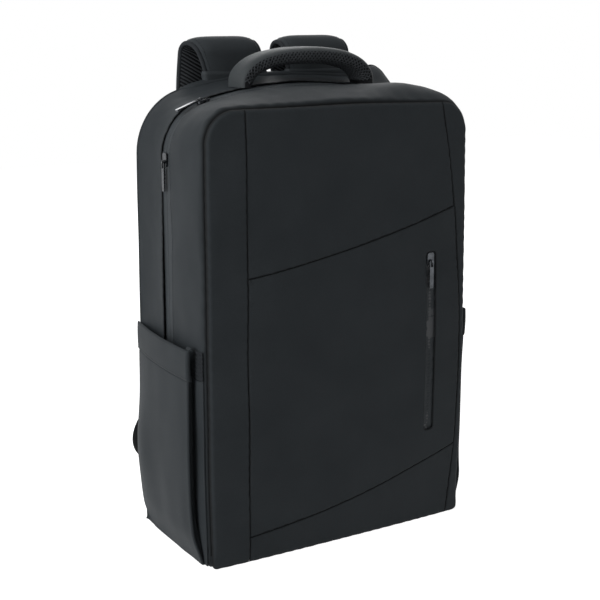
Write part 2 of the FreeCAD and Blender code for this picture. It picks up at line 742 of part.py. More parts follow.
os.makedirs("parts", exist_ok=True)
for name, shape in pieces.items():
    solids = shape.Solids
    if len(solids) != 1 or not shape.isValid() or shape.Volume <= 0:
        print("LOOK AT", name, len(solids), shape.isValid(), round(shape.Volume, 1))
    result = solids[0] if len(solids) == 1 else Part.makeCompound(solids)
    result.exportStep("parts/" + name + ".step")
print(len(pieces), "pieces")
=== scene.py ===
import bpy
import math
import numpy as np
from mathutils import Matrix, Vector, noise
from mathutils.geometry import delaunay_2d_cdt


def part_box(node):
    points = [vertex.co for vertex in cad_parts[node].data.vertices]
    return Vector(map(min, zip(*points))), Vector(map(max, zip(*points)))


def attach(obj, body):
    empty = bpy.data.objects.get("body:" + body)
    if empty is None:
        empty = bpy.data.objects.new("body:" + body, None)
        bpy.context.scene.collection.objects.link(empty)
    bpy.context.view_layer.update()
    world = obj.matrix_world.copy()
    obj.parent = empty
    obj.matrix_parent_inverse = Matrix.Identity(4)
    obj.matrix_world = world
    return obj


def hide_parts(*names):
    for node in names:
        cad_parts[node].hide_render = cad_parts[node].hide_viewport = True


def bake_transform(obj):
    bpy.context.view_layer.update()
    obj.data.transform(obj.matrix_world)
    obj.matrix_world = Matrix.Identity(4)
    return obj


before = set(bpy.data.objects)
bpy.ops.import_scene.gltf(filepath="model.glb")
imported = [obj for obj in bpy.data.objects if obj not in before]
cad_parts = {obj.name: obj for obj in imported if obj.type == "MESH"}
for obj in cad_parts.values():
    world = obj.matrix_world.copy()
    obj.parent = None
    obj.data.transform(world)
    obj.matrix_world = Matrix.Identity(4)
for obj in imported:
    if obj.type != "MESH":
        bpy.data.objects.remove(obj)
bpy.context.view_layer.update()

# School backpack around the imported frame. Shapes are worked out in millimetres and stored in metres.
mm = 0.001


def boxOf(node):
    low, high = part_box(node)
    return np.array(low) / mm, np.array(high) / mm


panelLow, panelHigh = boxOf("back_panel")
zipFrontLow, zipFrontHigh = boxOf("main_zip_front_half")
zipRearLow, zipRearHigh = boxOf("main_zip_rear_half")
halfWidth = panelHigh[0]
rearY = panelHigh[1]
frontY = -rearY                                # the front seam, as far forward as the back panel is back
zipY = (zipFrontHigh[1] + zipRearLow[1]) / 2
zipBand = zipRearHigh[1] - zipFrontLow[1]
panelFrontY = panelLow[1]
trayTop = boxOf("front_gusset")[0][2]

# How the filled bag's outline runs at the front seam, at the zip and at the back edge
outline = {
    "frontCorner": 30, "frontTop": 442, "frontSlope": (0.6, 2.0),
    "zipCorner": 52, "zipTop": 454.9, "zipSlope": (14.8, 15.0), "zipPull": 0.12,
    "rearCorner": (62, 30), "rearTop": 461.5, "rearSlope": (15.0, 5.0),
    "rightRise": 13.0, "riseX": (92, 38), "riseZ": (330, 90), "riseY": (6, 50),
    "rightPuff": 8.5, "puffX": (20, 80), "puffZ": (400, 36), "puffAhead": (7, 13), "puffPower": 0.7,
    "bottomCorner": 5, "samples": (110, 26, 50), "levels": 60,
}


def srgb(*rgb):
    return tuple(((c / 255 + 0.055) / 1.055) ** 2.4 if c > 10 else c / 255 / 12.92 for c in rgb) + (1.0,)


def smooth(t):
    t = np.clip(t, 0, 1)
    return t * t * (3 - 2 * t)


def ramp(value, start, reach):
    return smooth((value - start) / reach)


def lip(distance, width, depth):
    # a quarter ellipse: the edge turns straight in, and is level again at width
    t = np.clip(1 - distance / width, 0, 1)
    return depth * (1 - np.sqrt(1 - t * t))


def noiseAt(points, size, seed):
    flat = points.reshape(-1, 3) / size + seed * 13.7
    return np.array([noise.noise(p) for p in flat.tolist()]).reshape(points.shape[:-1])


# Outline

def halfOutline(corner, slope, top):
    # from the side's foot up to the middle of the crown, for x >= 0: heights and half widths
    a = math.radians(slope)
    endX = halfWidth - corner + corner * math.sin(a)
    crown = endX / math.sin(a)
    endZ = top - crown * (1 - math.cos(a))
    centreZ = endZ - corner * math.cos(a)
    steps = outline["samples"]
    side = np.linspace(0, 1, steps[0])
    turn = np.linspace(math.pi / 2, a, steps[1])
    over = np.linspace(a, 0, steps[2])
    low = outline["bottomCorner"]
    xs = [np.full(steps[0], halfWidth), halfWidth - corner + corner * np.sin(turn), crown * np.sin(over)]
    zs = [low + side * (centreZ - low), centreZ + corner * np.cos(turn), top - crown * (1 - np.cos(over))]
    return (np.concatenate([xs[0], xs[1][1:], xs[2][1:]]), np.concatenate([zs[0], zs[1][1:], zs[2][1:]]))


def sectionAt(y):
    # left foot, over the top, right foot, as (x, z), softly blended from outline to outline
    rows = []
    for side in (0, 1):
        atZip = halfOutline(outline["zipCorner"], outline["zipSlope"][side], outline["zipTop"])
        if y < zipY:
            a = halfOutline(outline["frontCorner"], outline["frontSlope"][side], outline["frontTop"])
            b = atZip
            share = (y - frontY) / (zipY - frontY)
            share = share + outline["zipPull"] * math.sin(math.pi * share)
        else:
            a = atZip
            b = halfOutline(outline["rearCorner"][side], outline["rearSlope"][side], outline["rearTop"])
            share = (y - zipY) / (rearY - zipY)
        rows.append(((1 - share) * a[0] + share * b[0], (1 - share) * a[1] + share * b[1]))
    (xl, zl), (xr, zr) = rows
    zr = zr + (outline["rightRise"] * ramp(xr, *outline["riseX"]) * ramp(zr, *outline["riseZ"])
               * ramp(y, *outline["riseY"]))
    start, end = outline["puffAhead"]
    ahead = np.clip((zipY - start - y) / (zipY - end - frontY), 0, 1)
    zr = zr + (outline["rightPuff"] * ramp(xr, *outline["puffX"]) * ramp(zr, *outline["puffZ"])
               * np.sin(math.pi * ahead) ** outline["puffPower"])
    return np.stack([np.concatenate([-xl, xr[::-1][1:]]), np.concatenate([zl, zr[::-1][1:]])], axis=1)


# Meshes

def newObject(name, verts, faces, uvs=None, sharp=50):
    mesh = bpy.data.meshes.new(name)
    mesh.from_pydata((np.asarray(verts) * mm).tolist(), [], faces)
    mesh.validate()
    if uvs is not None:
        layer = mesh.uv_layers.new(name="cloth")
        index = np.empty(len(mesh.loops), np.int32)
        mesh.loops.foreach_get("vertex_index", index)
        layer.data.foreach_set("uv", (np.asarray(uvs)[index] * mm).astype(np.float32).ravel())
    mesh.shade_smooth()
    mesh.set_sharp_from_angle(angle=math.radians(sharp))
    obj = bpy.data.objects.new(name, mesh)
    bpy.context.scene.collection.objects.link(obj)
    return obj


def gridNormals(p):
    n = np.cross(np.gradient(p, axis=0), np.gradient(p, axis=1))
    return n / (np.linalg.norm(n, axis=2, keepdims=True) + 1e-12)


def gridUvs(p):
    u = np.zeros(p.shape[:2])
    v = np.zeros(p.shape[:2])
    u[1:] = np.cumsum(np.linalg.norm(np.diff(p, axis=0), axis=2), axis=0)
    v[:, 1:] = np.cumsum(np.linalg.norm(np.diff(p, axis=1), axis=2), axis=1)
    return np.stack([u, v], axis=2).reshape(-1, 2)


def paintSeamShade(obj, share):
    # how much painted seam shade each outer point holds
    data = np.zeros(len(obj.data.vertices), np.float32)
    data[:share.size] = share.ravel()
    obj.data.attributes.new("seam", "FLOAT", "POINT").data.foreach_set("value", data)


def gridFaces(nu, nv):
    i, j = np.meshgrid(np.arange(nu - 1), np.arange(nv - 1), indexing="ij")
    a = (i * nv + j).ravel()
    return np.stack([a, a + nv, a + nv + 1, a + 1], axis=1)


def wallUp(name, verts, faces, normals, thickness, uvs, sharp=50):
    # gives a sheet its thickness: a second skin below, and a wall along each open edge
    count = len(verts)
    faces = [tuple(f) for f in faces]
    edges = {}
    for f in faces:
        for a, b in zip(f, f[1:] + f[:1]):
            edges[(a, b)] = True
    rim = [(a, b) for a, b in edges if (b, a) not in edges]
    under = [tuple(v + count for v in reversed(f)) for f in faces]
    walls = [(b, a, a + count, b + count) for a, b in rim]
    allVerts = np.concatenate([verts, verts - normals * thickness])
    return newObject(name, allVerts, faces + under + walls, np.concatenate([uvs, uvs]), sharp)


def gridSheet(name, p, thickness, sharp=50):
    n = gridNormals(p)
    return wallUp(name, p.reshape(-1, 3), gridFaces(*p.shape[:2]).tolist(), n.reshape(-1, 3), thickness,
                  gridUvs(p), sharp)


def runOf(points):
    # how far along a line each of its points lies
    return np.concatenate([[0], np.cumsum(np.linalg.norm(np.diff(points, axis=0), axis=1))])


def headings(line):
    along = np.gradient(line, axis=0)
    return along / np.linalg.norm(along, axis=1, keepdims=True)


def resample(points, step):
    points = np.asarray(points, float)
    length = runOf(points)
    count = max(2, int(round(length[-1] / step)) + 1)
    s = np.linspace(0, length[-1], count)
    return np.stack([np.interp(s, length, points[:, k]) for k in range(points.shape[1])], axis=1)


def insideLoop(points, loop):
    inside = np.zeros(len(points), bool)
    x, y = points[:, 0], points[:, 1]
    for (x0, y0), (x1, y1) in zip(loop, np.roll(loop, -1, axis=0)):
        crosses = (y0 > y) != (y1 > y)
        inside ^= crosses & (x < (x1 - x0) * (y - y0) / (y1 - y0 + 1e-12) + x0)
    return inside


mesher = {"chunk": 4000, "rowRise": 0.866, "innerGap": 0.55, "ringGap": 0.93}


def nearest(points, line):
    # distance to a sampled line, and which sample is nearest, a chunk of points at a time
    chunk = mesher["chunk"]
    best = np.full(len(points), 1e9)
    index = np.zeros(len(points), int)
    for k in range(0, len(points), chunk):
        d = np.linalg.norm(points[k:k + chunk, None] - line[None], axis=2)
        index[k:k + chunk] = d.argmin(axis=1)
        best[k:k + chunk] = d.min(axis=1)
    return best, index


def fillLoop(loop, step, rings=(0.5, 1.1, 1.9, 3.0, 4.6), holes=()):
    # points and triangles inside a flat outline, close together along its edge
    loops = [loop] + list(holes)
    allEdges = np.concatenate(loops)
    low, high = loop.min(axis=0), loop.max(axis=0)
    gx, gy = np.meshgrid(np.arange(low[0], high[0], step),
                         np.arange(low[1], high[1], step * mesher["rowRise"]))
    gx[1::2] += step / 2
    inner = np.stack([gx.ravel(), gy.ravel()], axis=1)
    candidates, gaps = [inner], [np.full(len(inner), rings[-1] + step * mesher["innerGap"])]
    for edge in loops:
        tangent = np.roll(edge, -1, axis=0) - np.roll(edge, 1, axis=0)
        tangent /= np.linalg.norm(tangent, axis=1, keepdims=True) + 1e-12
        side = np.stack([-tangent[:, 1], tangent[:, 0]], axis=1)
        for r in rings:
            for sign in (1, -1):
                candidates.append(edge + sign * side * r)
                gaps.append(np.full(len(edge), r * mesher["ringGap"]))
    points = np.concatenate(candidates)
    gaps = np.concatenate(gaps)
    keep = insideLoop(points, loop)
    for hole in holes:
        keep &= ~insideLoop(points, hole)
    points, gaps = points[keep], gaps[keep]
    distance, _ = nearest(points, allEdges)
    points = points[distance > gaps]
    edges, start = [], 0
    for edge in loops:
        n = len(edge)
        edges += [(start + k, start + (k + 1) % n) for k in range(n)]
        start += n
    source = np.concatenate([allEdges, points])
    verts, _, faces, *_ = delaunay_2d_cdt([Vector(p) for p in source.tolist()], edges, [], 0, 1e-4)
    verts = np.array([v[:] for v in verts])
    faces = [list(f) for f in faces]
    middle = np.array([verts[f].mean(axis=0) for f in faces])
    keep = insideLoop(middle, loop)
    for hole in holes:
        keep &= ~insideLoop(middle, hole)
    return verts, [f for f, k in zip(faces, keep) if k]


def vertexNormals(verts, faces):
    f = np.array(faces)
    n = np.cross(verts[f[:, 1]] - verts[f[:, 0]], verts[f[:, 2]] - verts[f[:, 0]])
    total = np.zeros_like(verts)
    for k in range(3):
        np.add.at(total, f[:, k], n)
    return total / (np.linalg.norm(total, axis=1, keepdims=True) + 1e-12)


def flatSheet(name, verts, faces, thickness, outward, uvs, sharp=50):
    # a triangulated sheet whose faces are turned to point outward
    n = vertexNormals(verts, faces)
    if (n @ np.asarray(outward, float)).mean() < 0:
        faces = [f[::-1] for f in faces]
        n = -n
    return wallUp(name, verts, faces, n, thickness, uvs, sharp)


def tube(name, rings, closedEnds=True, sharp=50):
    # rings of points, all with as many points, joined into a closed skin
    count, around = rings.shape[:2]
    faces = []
    for i in range(count - 1):
        for j in range(around):
            a, b = i * around + j, i * around + (j + 1) % around
            faces.append((a, b, b + around, a + around))
    if closedEnds:
        faces.append(tuple(range(around))[::-1])
        faces.append(tuple((count - 1) * around + j for j in range(around)))
    closed = np.concatenate([rings, rings[:, :1]], axis=1)
    uvs = gridUvs(closed).reshape(count, around + 1, 2)[:, :-1].reshape(-1, 2)
    verts = rings.reshape(-1, 3)
    centre = rings.mean(axis=1, keepdims=True)
    first = np.cross(rings[1, 0] - rings[0, 0], rings[0, 1] - rings[0, 0])
    if first @ (rings[0, 0] - centre[0, 0]) > 0:
        faces = [f[::-1] for f in faces]
    return newObject(name, verts, faces, uvs, sharp)


def cushion(name, low, high, material, slotName, body, node, crown=1.2):
    # a soft slab with rounded edges: a box grid whose faces swell a little between their seams
    radius, step = 2.0, 6
    size = high - low
    cells = [max(2, int(round(s / step))) for s in size]
    verts, faces, index = [], [], {}

    def vertex(key):
        if key not in index:
            index[key] = len(verts)
            verts.append([key[k] / cells[k] for k in range(3)])
        return index[key]

    for axis in range(3):
        u, v = (axis + 1) % 3, (axis + 2) % 3
        for end in (0, cells[axis]):
            for i in range(cells[u]):
                for j in range(cells[v]):
                    quad = []
                    for du, dv in ((0, 0), (1, 0), (1, 1), (0, 1)):
                        key = [0, 0, 0]
                        key[axis], key[u], key[v] = end, i + du, j + dv
                        quad.append(vertex(tuple(key)))
                    faces.append(tuple(quad if end else quad[::-1]))
    unit = np.array(verts)
    p = low + unit * size
    r = min(radius, size.min() * 0.45)
    core = np.clip(p, low + r, high - r)
    away = p - core
    length = np.linalg.norm(away, axis=1, keepdims=True)
    p = core + away / np.maximum(length, 1e-9) * r
    swell = np.prod(np.where(size > 3 * r, np.sin(math.pi * np.clip(unit, 0, 1)) ** 0.5, 1.0), axis=1)
    n = away / np.maximum(length, 1e-9)
    thin = int(size.argmin())
    p[:, thin] += n[:, thin] * (swell * crown - crown * 0.5)
    obj = newObject(name, p, faces, (p[:, [0, 2]] if thin == 1 else p[:, [1, 2]]), sharp=60)
    finishPiece(obj, material, slotName, body, node)


def finishPiece(obj, material, slotName, body, *nodes):
    obj.data.materials.clear()
    obj.data.materials.append(material)
    if nodes:
        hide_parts(*nodes)
    if body:
        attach(obj, body)


# Node trees

def setInputs(tree, node, inputs):
    # an input takes another node's output or a plain value
    for name, value in inputs.items():
        if isinstance(value, bpy.types.NodeSocket):
            tree.links.new(value, node.inputs[name])
        else:
            node.inputs[name].default_value = value


def addNode(tree, kind, inputs=None, **settings):
    node = tree.nodes.new(kind)
    for name, value in settings.items():
        setattr(node, name, value)
    setInputs(tree, node, inputs or {})
    return node


def enabledOutput(node, name):
    return next(o for o in node.outputs if o.enabled and o.name == name)


# Repeats along a path

def newTree(name, floats, tail):
    # a node tree that turns edges into curves, with named sizes and a material
    tree = bpy.data.node_groups.new(name, "GeometryNodeTree")
    sockets = tree.interface
    sockets.new_socket("Geometry", in_out="INPUT", socket_type="NodeSocketGeometry")
    for label, value in floats.items():
        sockets.new_socket(label, in_out="INPUT", socket_type="NodeSocketFloat").default_value = value
    sockets.new_socket("Seed", in_out="INPUT", socket_type="NodeSocketInt")
    sockets.new_socket("Finish", in_out="INPUT", socket_type="NodeSocketMaterial")
    sockets.new_socket("Geometry", in_out="OUTPUT", socket_type="NodeSocketGeometry")
    given = addNode(tree, "NodeGroupInput").outputs
    curve = addNode(tree, "GeometryNodeMeshToCurve", {"Mesh": given["Geometry"]}).outputs["Curve"]
    up = addNode(tree, "GeometryNodeInputNamedAttribute", {"Name": "up"}, data_type="FLOAT_VECTOR")
    made = tail(tree, given, curve, enabledOutput(up, "Attribute"))
    realize = addNode(tree, "GeometryNodeRealizeInstances", {0: made})
    soft = addNode(tree, "GeometryNodeSetShadeSmooth", {0: realize.outputs[0]})
    paint = addNode(tree, "GeometryNodeSetMaterial", {"Geometry": soft.outputs[0], "Material": given["Finish"]})
    addNode(tree, "NodeGroupOutput", {"Geometry": paint.outputs[0]})
    return tree


def beads(tree, given, curve, up):
    # small rounded items at an even pitch, each turned along the path and lifted off the surface
    pitch = addNode(tree, "GeometryNodeResampleCurve", {"Curve": curve, "Length": given["Pitch"]}, mode="LENGTH")
    raised = addNode(tree, "ShaderNodeVectorMath", {0: up, "Scale": given["Lift"]}, operation="SCALE")
    place = addNode(tree, "GeometryNodeSetPosition",
                    {"Geometry": pitch.outputs["Curve"], "Offset": raised.outputs["Vector"]})
    tangent = addNode(tree, "GeometryNodeInputTangent")
    turn = addNode(tree, "FunctionNodeAxesToRotation", {0: up, 1: tangent.outputs[0]},
                   primary_axis="Z", secondary_axis="X")
    vary = addNode(tree, "FunctionNodeRandomValue", {"Min": 0.9, "Max": 1.1, "Seed": given["Seed"]},
                   data_type="FLOAT")
    size = addNode(tree, "ShaderNodeCombineXYZ", {"X": given["Length"], "Y": given["Width"], "Z": given["Height"]})
    varied = addNode(tree, "ShaderNodeVectorMath", {0: size.outputs[0], "Scale": enabledOutput(vary, "Value")},
                     operation="SCALE")
    bead = addNode(tree, "GeometryNodeMeshUVSphere", {"Segments": 8, "Rings": 5, "Radius": 0.5})
    return addNode(tree, "GeometryNodeInstanceOnPoints",
                   {"Points": place.outputs["Geometry"], "Instance": bead.outputs["Mesh"],
                    "Rotation": turn.outputs[0], "Scale": varied.outputs["Vector"]}).outputs["Instances"]


def ribs(tree, given, curve, _up):
    # a round rib swept along each path
    ring = addNode(tree, "GeometryNodeCurvePrimitiveCircle", {"Resolution": 7, "Radius": given["Radius"]})
    return addNode(tree, "GeometryNodeCurveToMesh",
                   {"Fill Caps": True, "Curve": curve, "Profile Curve": ring.outputs["Curve"]}).outputs["Mesh"]


stitchTree = newTree("Stitches", {"Pitch": 3.4, "Length": 2.5, "Width": 0.55, "Height": 0.4, "Lift": 0.0}, beads)
ribTree = newTree("Ribs", {"Radius": 0.8}, ribs)


def alongPaths(name, tree, lines, ups, sizes, material, body, seed=1):
    # lines are runs of points in millimetres, ups the surface's direction at each point
    verts = np.concatenate(lines)
    edges, start = [], 0
    for run in lines:
        edges += [(start + k, start + k + 1) for k in range(len(run) - 1)]
        start += len(run)
    mesh = bpy.data.meshes.new(name)
    mesh.from_pydata((verts * mm).tolist(), edges, [])
    direction = mesh.attributes.new("up", "FLOAT_VECTOR", "POINT")
    direction.data.foreach_set("vector", np.concatenate(ups).astype(np.float32).ravel())
    obj = bpy.data.objects.new(name, mesh)
    bpy.context.scene.collection.objects.link(obj)
    modifier = obj.modifiers.new("along", "NODES")
    modifier.node_group = tree
    for item in tree.interface.items_tree:
        if item.in_out != "INPUT":
            continue
        if item.name in sizes:
            modifier[item.identifier] = sizes[item.name] * mm
        elif item.name == "Seed":
            modifier[item.identifier] = seed
        elif item.name == "Finish":
            modifier[item.identifier] = material
    bpy.context.view_layer.update()
    made = bpy.data.meshes.new_from_object(obj.evaluated_get(bpy.context.evaluated_depsgraph_get()))
    obj.modifiers.clear()
    obj.data = made
    if body:
        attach(obj, body)
    return obj


# Materials

def newMaterial(name):
    material = bpy.data.materials.new(name)
    material.use_nodes = True
    tree = material.node_tree
    return material, tree, tree.nodes["Principled BSDF"], addNode(tree, "ShaderNodeTexCoord").outputs


def grainNode(tree, vector, size, detail):
    return addNode(tree, "ShaderNodeTexNoise", {"Scale": 1 / (size * mm), "Detail": detail, "Roughness": 0.6,
                                                "Vector": vector}).outputs["Fac"]


def bandNode(tree, vector, direction, pitch):
    perBand = 0.31416                          # the wave texture's scale for one band in each unit
    return addNode(tree, "ShaderNodeTexWave", {"Scale": perBand / (pitch * mm), "Vector": vector},
                   bands_direction=direction).outputs["Fac"]


def mixed(tree, low, high, share, **settings):
    return addNode(tree, "ShaderNodeMix", {"A": low, "B": high, "Factor": share}, data_type="RGBA",
                   **settings).outputs["Result"]


def spread(tree, value, low, high, start=0.3, end=0.7):
    return addNode(tree, "ShaderNodeMapRange", {"From Min": start, "From Max": end, "To Min": low, "To Max": high,
                                                "Value": value}).outputs["Result"]


def bumped(tree, height, depth, before=None):
    bump = addNode(tree, "ShaderNodeBump", {"Distance": depth * mm, "Height": height})
    if before:
        tree.links.new(before, bump.inputs["Normal"])
    return bump.outputs["Normal"]


def cloth(name, look):
    # woven or coated cloth: tone drift, thread grain, an over-and-under weave, painted seam shade and a soft sheen
    material, tree, shader, coords = newMaterial(name)
    drift = grainNode(tree, coords["Object"], look["driftSize"], 2.0)
    grain = grainNode(tree, coords["Object"], look["grainSize"], 4.0)
    warp, weft = (bandNode(tree, coords["UV"], axis, look["threadPitch"]) for axis in "XY")
    weave = addNode(tree, "ShaderNodeMath", {0: warp, 1: weft}, operation="MULTIPLY").outputs[0]
    tone = mixed(tree, look["dark"], look["light"], spread(tree, drift, 0, 1))
    speckled = mixed(tree, tone, spread(tree, grain, 0.55, 1.25), look["speckle"], blend_type="MULTIPLY")
    # painted shade: where the seam attribute is high, the colour goes to a dim copy of the dark tone
    seam = addNode(tree, "ShaderNodeAttribute", attribute_name="seam").outputs["Fac"]
    shadow = [v * look["paintedSeamShadeTone"] for v in look["dark"][:3]] + [1]
    rough = look["roughness"]
    normal = bumped(tree, weave, look["threadDepth"])
    setInputs(tree, shader, {
        "Base Color": mixed(tree, speckled, shadow, seam),
        "Roughness": spread(tree, grain, rough - 0.07, rough + 0.07),
        "Normal": bumped(tree, grain, look["grainDepth"], normal), "Specular IOR Level": look["gloss"],
        "Sheen Weight": look["sheen"], "Sheen Roughness": 0.45, "Sheen Tint": look["light"]})
    return material


def hard(name, look):
    # moulded plastic or plated metal with fine grain, dulled and brightened by handling
    material, tree, shader, coords = newMaterial(name)
    wear = grainNode(tree, coords["Object"], look["wearSize"], 4.0)
    grain = grainNode(tree, coords["Object"], look["grainSize"], 2.0)
    rough = look["roughness"]
    setInputs(tree, shader, {
        "Base Color": mixed(tree, look["dark"], look["light"], spread(tree, wear, 0, 1)),
        "Roughness": spread(tree, wear, rough - 0.08, rough + 0.08),
        "Normal": bumped(tree, grain, look["grainDepth"]), "Metallic": look["metal"],
        "Specular IOR Level": look["gloss"]})
    return material


def clothLook(dark, light, **changes):
    look = {"dark": srgb(*dark), "light": srgb(*light), "driftSize": 70, "grainSize": 0.9, "grainDepth": 0.05,
            "threadPitch": 0.55, "threadDepth": 0.03, "speckle": 0.35, "roughness": 0.66, "gloss": 0.12,
            "sheen": 0.03, "paintedSeamShadeTone": 0.12}
    look.update(changes)
    return look


coatedFabric = cloth("coated fabric", clothLook((40, 44, 47), (46, 50, 53)))
handleFabric = cloth("handle fabric", clothLook((54, 58, 60), (62, 66, 68), gloss=0.2, roughness=0.6))
trayFabric = cloth("base fabric", clothLook((34, 37, 40), (40, 43, 46), threadPitch=0.8, threadDepth=0.1))
innerMesh = cloth("ribbed mesh", clothLook((17, 18, 20), (24, 26, 29), threadPitch=0.9, threadDepth=0.2,
                                           speckle=0.7, roughness=0.75, gloss=0.15, sheen=0.1))
airMesh = cloth("air mesh", clothLook((20, 21, 23), (29, 31, 33), threadPitch=2.2, threadDepth=0.55,
                                      speckle=0.6, roughness=0.8, gloss=0.12, sheen=0.12))
bindingTape = cloth("binding tape", clothLook((38, 41, 44), (47, 50, 53), threadPitch=0.9, threadDepth=0.16,
                                              speckle=0.5, roughness=0.7))
webbingTape = cloth("webbing", clothLook((22, 23, 25), (33, 35, 37), threadPitch=1.3, threadDepth=0.25,
                                         speckle=0.6, roughness=0.66))
elasticTape = cloth("elastic", clothLook((30, 32, 35), (38, 41, 44), threadPitch=1.0, threadDepth=0.2,
                                         speckle=0.6, roughness=0.75))
zipTape = cloth("zip tape", clothLook((56, 60, 63), (64, 68, 71), threadPitch=0.7, threadDepth=0.08,
                                      speckle=0.4, roughness=0.58))
strapFabric = cloth("strap fabric", clothLook((50, 54, 57), (58, 62, 65)))
pocketTape = cloth("pocket zip tape", clothLook((54, 58, 61), (64, 68, 71), threadPitch=0.7, threadDepth=0.08,
                                                speckle=0.4, roughness=0.6, gloss=0.15))
liningCloth = cloth("lining", clothLook((58, 60, 63), (70, 73, 76), threadPitch=0.4, threadDepth=0.03,
                                        roughness=0.5, gloss=0.35, sheen=0.1))
ribMesh = cloth("mesh ribs", clothLook((56, 59, 62), (74, 77, 80), grainSize=0.5, threadPitch=0.9, threadDepth=0.2,
                                       speckle=0.6, roughness=0.7))
thread = cloth("thread", clothLook((26, 28, 30), (38, 41, 43), grainSize=0.3, threadPitch=0.3, roughness=0.6))
coilPlastic = hard("zip coil", {"dark": srgb(20, 22, 24), "light": srgb(32, 34, 37), "wearSize": 6,
                                "grainSize": 0.4, "grainDepth": 0.02, "roughness": 0.4, "metal": 0.0, "gloss": 0.5})
zipMetal = hard("gunmetal", {"dark": srgb(58, 60, 63), "light": srgb(92, 95, 99), "wearSize": 5,
                             "grainSize": 0.3, "grainDepth": 0.012, "roughness": 0.28, "metal": 1.0, "gloss": 0.5})
bucklePlastic = hard("buckle plastic", {"dark": srgb(19, 20, 22), "light": srgb(30, 32, 34), "wearSize": 9,
                                        "grainSize": 0.5, "grainDepth": 0.03, "roughness": 0.42, "metal": 0.0,
                                        "gloss": 0.45})
print("materials ready")


# The filled body: everything sewn to it takes this shape

fill = {"rightSwell": 3.5, "leftSwell": 1.2, "swellFrom": (60, 90), "swellTop": 420, "swellPower": 0.75,
        "drift": 0.8, "driftSize": 85, "driftSeeds": (3, 5, 8), "calmBelow": 30}


def settle(p):
    # the filled bag leans out a little low on its right, and no face is quite flat
    x, z = p[..., 0], p[..., 2]
    rise = np.sin(math.pi * np.clip(z / fill["swellTop"], 0, 1) ** fill["swellPower"])
    out = p.copy()
    out[..., 0] += fill["rightSwell"] * ramp(x, *fill["swellFrom"]) * rise
    out[..., 0] -= fill["leftSwell"] * ramp(-x, *fill["swellFrom"]) * rise
    calm = smooth(z / fill["calmBelow"])
    for axis, seed in enumerate(fill["driftSeeds"]):
        out[..., axis] += fill["drift"] * noiseAt(p, fill["driftSize"], seed) * calm
    return out


levels = np.linspace(frontY, rearY, outline["levels"])
sections = np.stack([sectionAt(y) for y in levels])            # level, place along the outline, (x, z)
around = sections.shape[1]


def shellAt(y):
    # y is a grid: one row for each place along the outline
    y = np.asarray(y, float)
    k = np.clip(np.searchsorted(levels, y) - 1, 0, len(levels) - 2)
    share = (y - levels[k]) / (levels[k + 1] - levels[k])
    row = np.arange(y.shape[0])[:, None] + np.zeros(y.shape, int)
    xz = sections[k, row] * (1 - share[..., None]) + sections[k + 1, row] * share[..., None]
    return np.stack([xz[..., 0], y, xz[..., 1]], axis=-1)


def outwards(p, distance):
    return p + gridNormals(p) * distance[..., None]


def pucker(s, distance, pitch, depth, reach, seed):
    # small gathers that a seam draws into cloth
    drift = noiseAt(np.stack([s, s * 0, s * 0], axis=-1), pitch * 3.1, seed)
    strength = 0.5 + 0.5 * noiseAt(np.stack([s, s * 0 + 9, s * 0], axis=-1), pitch * 5.0, seed + 1)
    return depth * strength * np.sin(2 * math.pi * s / pitch + 5 * drift) * np.exp(-distance / reach)


def edgeSpacing(length, step, fine=(0.0, 0.4, 0.9, 1.6, 2.6, 4.0)):
    inner = np.linspace(fine[-1], length - fine[-1], max(2, int((length - 2 * fine[-1]) / step)))
    return np.concatenate([fine, inner[1:-1], length - np.array(fine[::-1])])


gussets = {
    "frontLip": (4.4, 4.9), "backLip": (2.4, 1.5), "zipLip": (1.6, 1.0), "footLip": (2.0, 1.3),
    "seamSetIn": 1.6, "backSetIn": 1.5, "columns": 22, "wall": 1.4, "seamShade": (1.3, 1.3),
    "zipEnd": 60.0, "zipEndEase": 8, "zipGap": 0.3,
    "puff": 2.4, "puffPower": 0.8, "footEase": 60, "hiddenShare": 0.25, "hiddenBelow": (190, 60),
    "frontPucker": (19, 0.8, 12), "backPucker": (19, 0.3, 12), "zipPucker": (9, 0.4, 5), "puckerEase": 3.5,
    "creaseDepth": 1.3, "creaseSize": 46, "creaseStretch": (1, 1.6, 0.7), "foldSize": 23, "foldShare": 0.5,
    "creaseEase": 7,
}


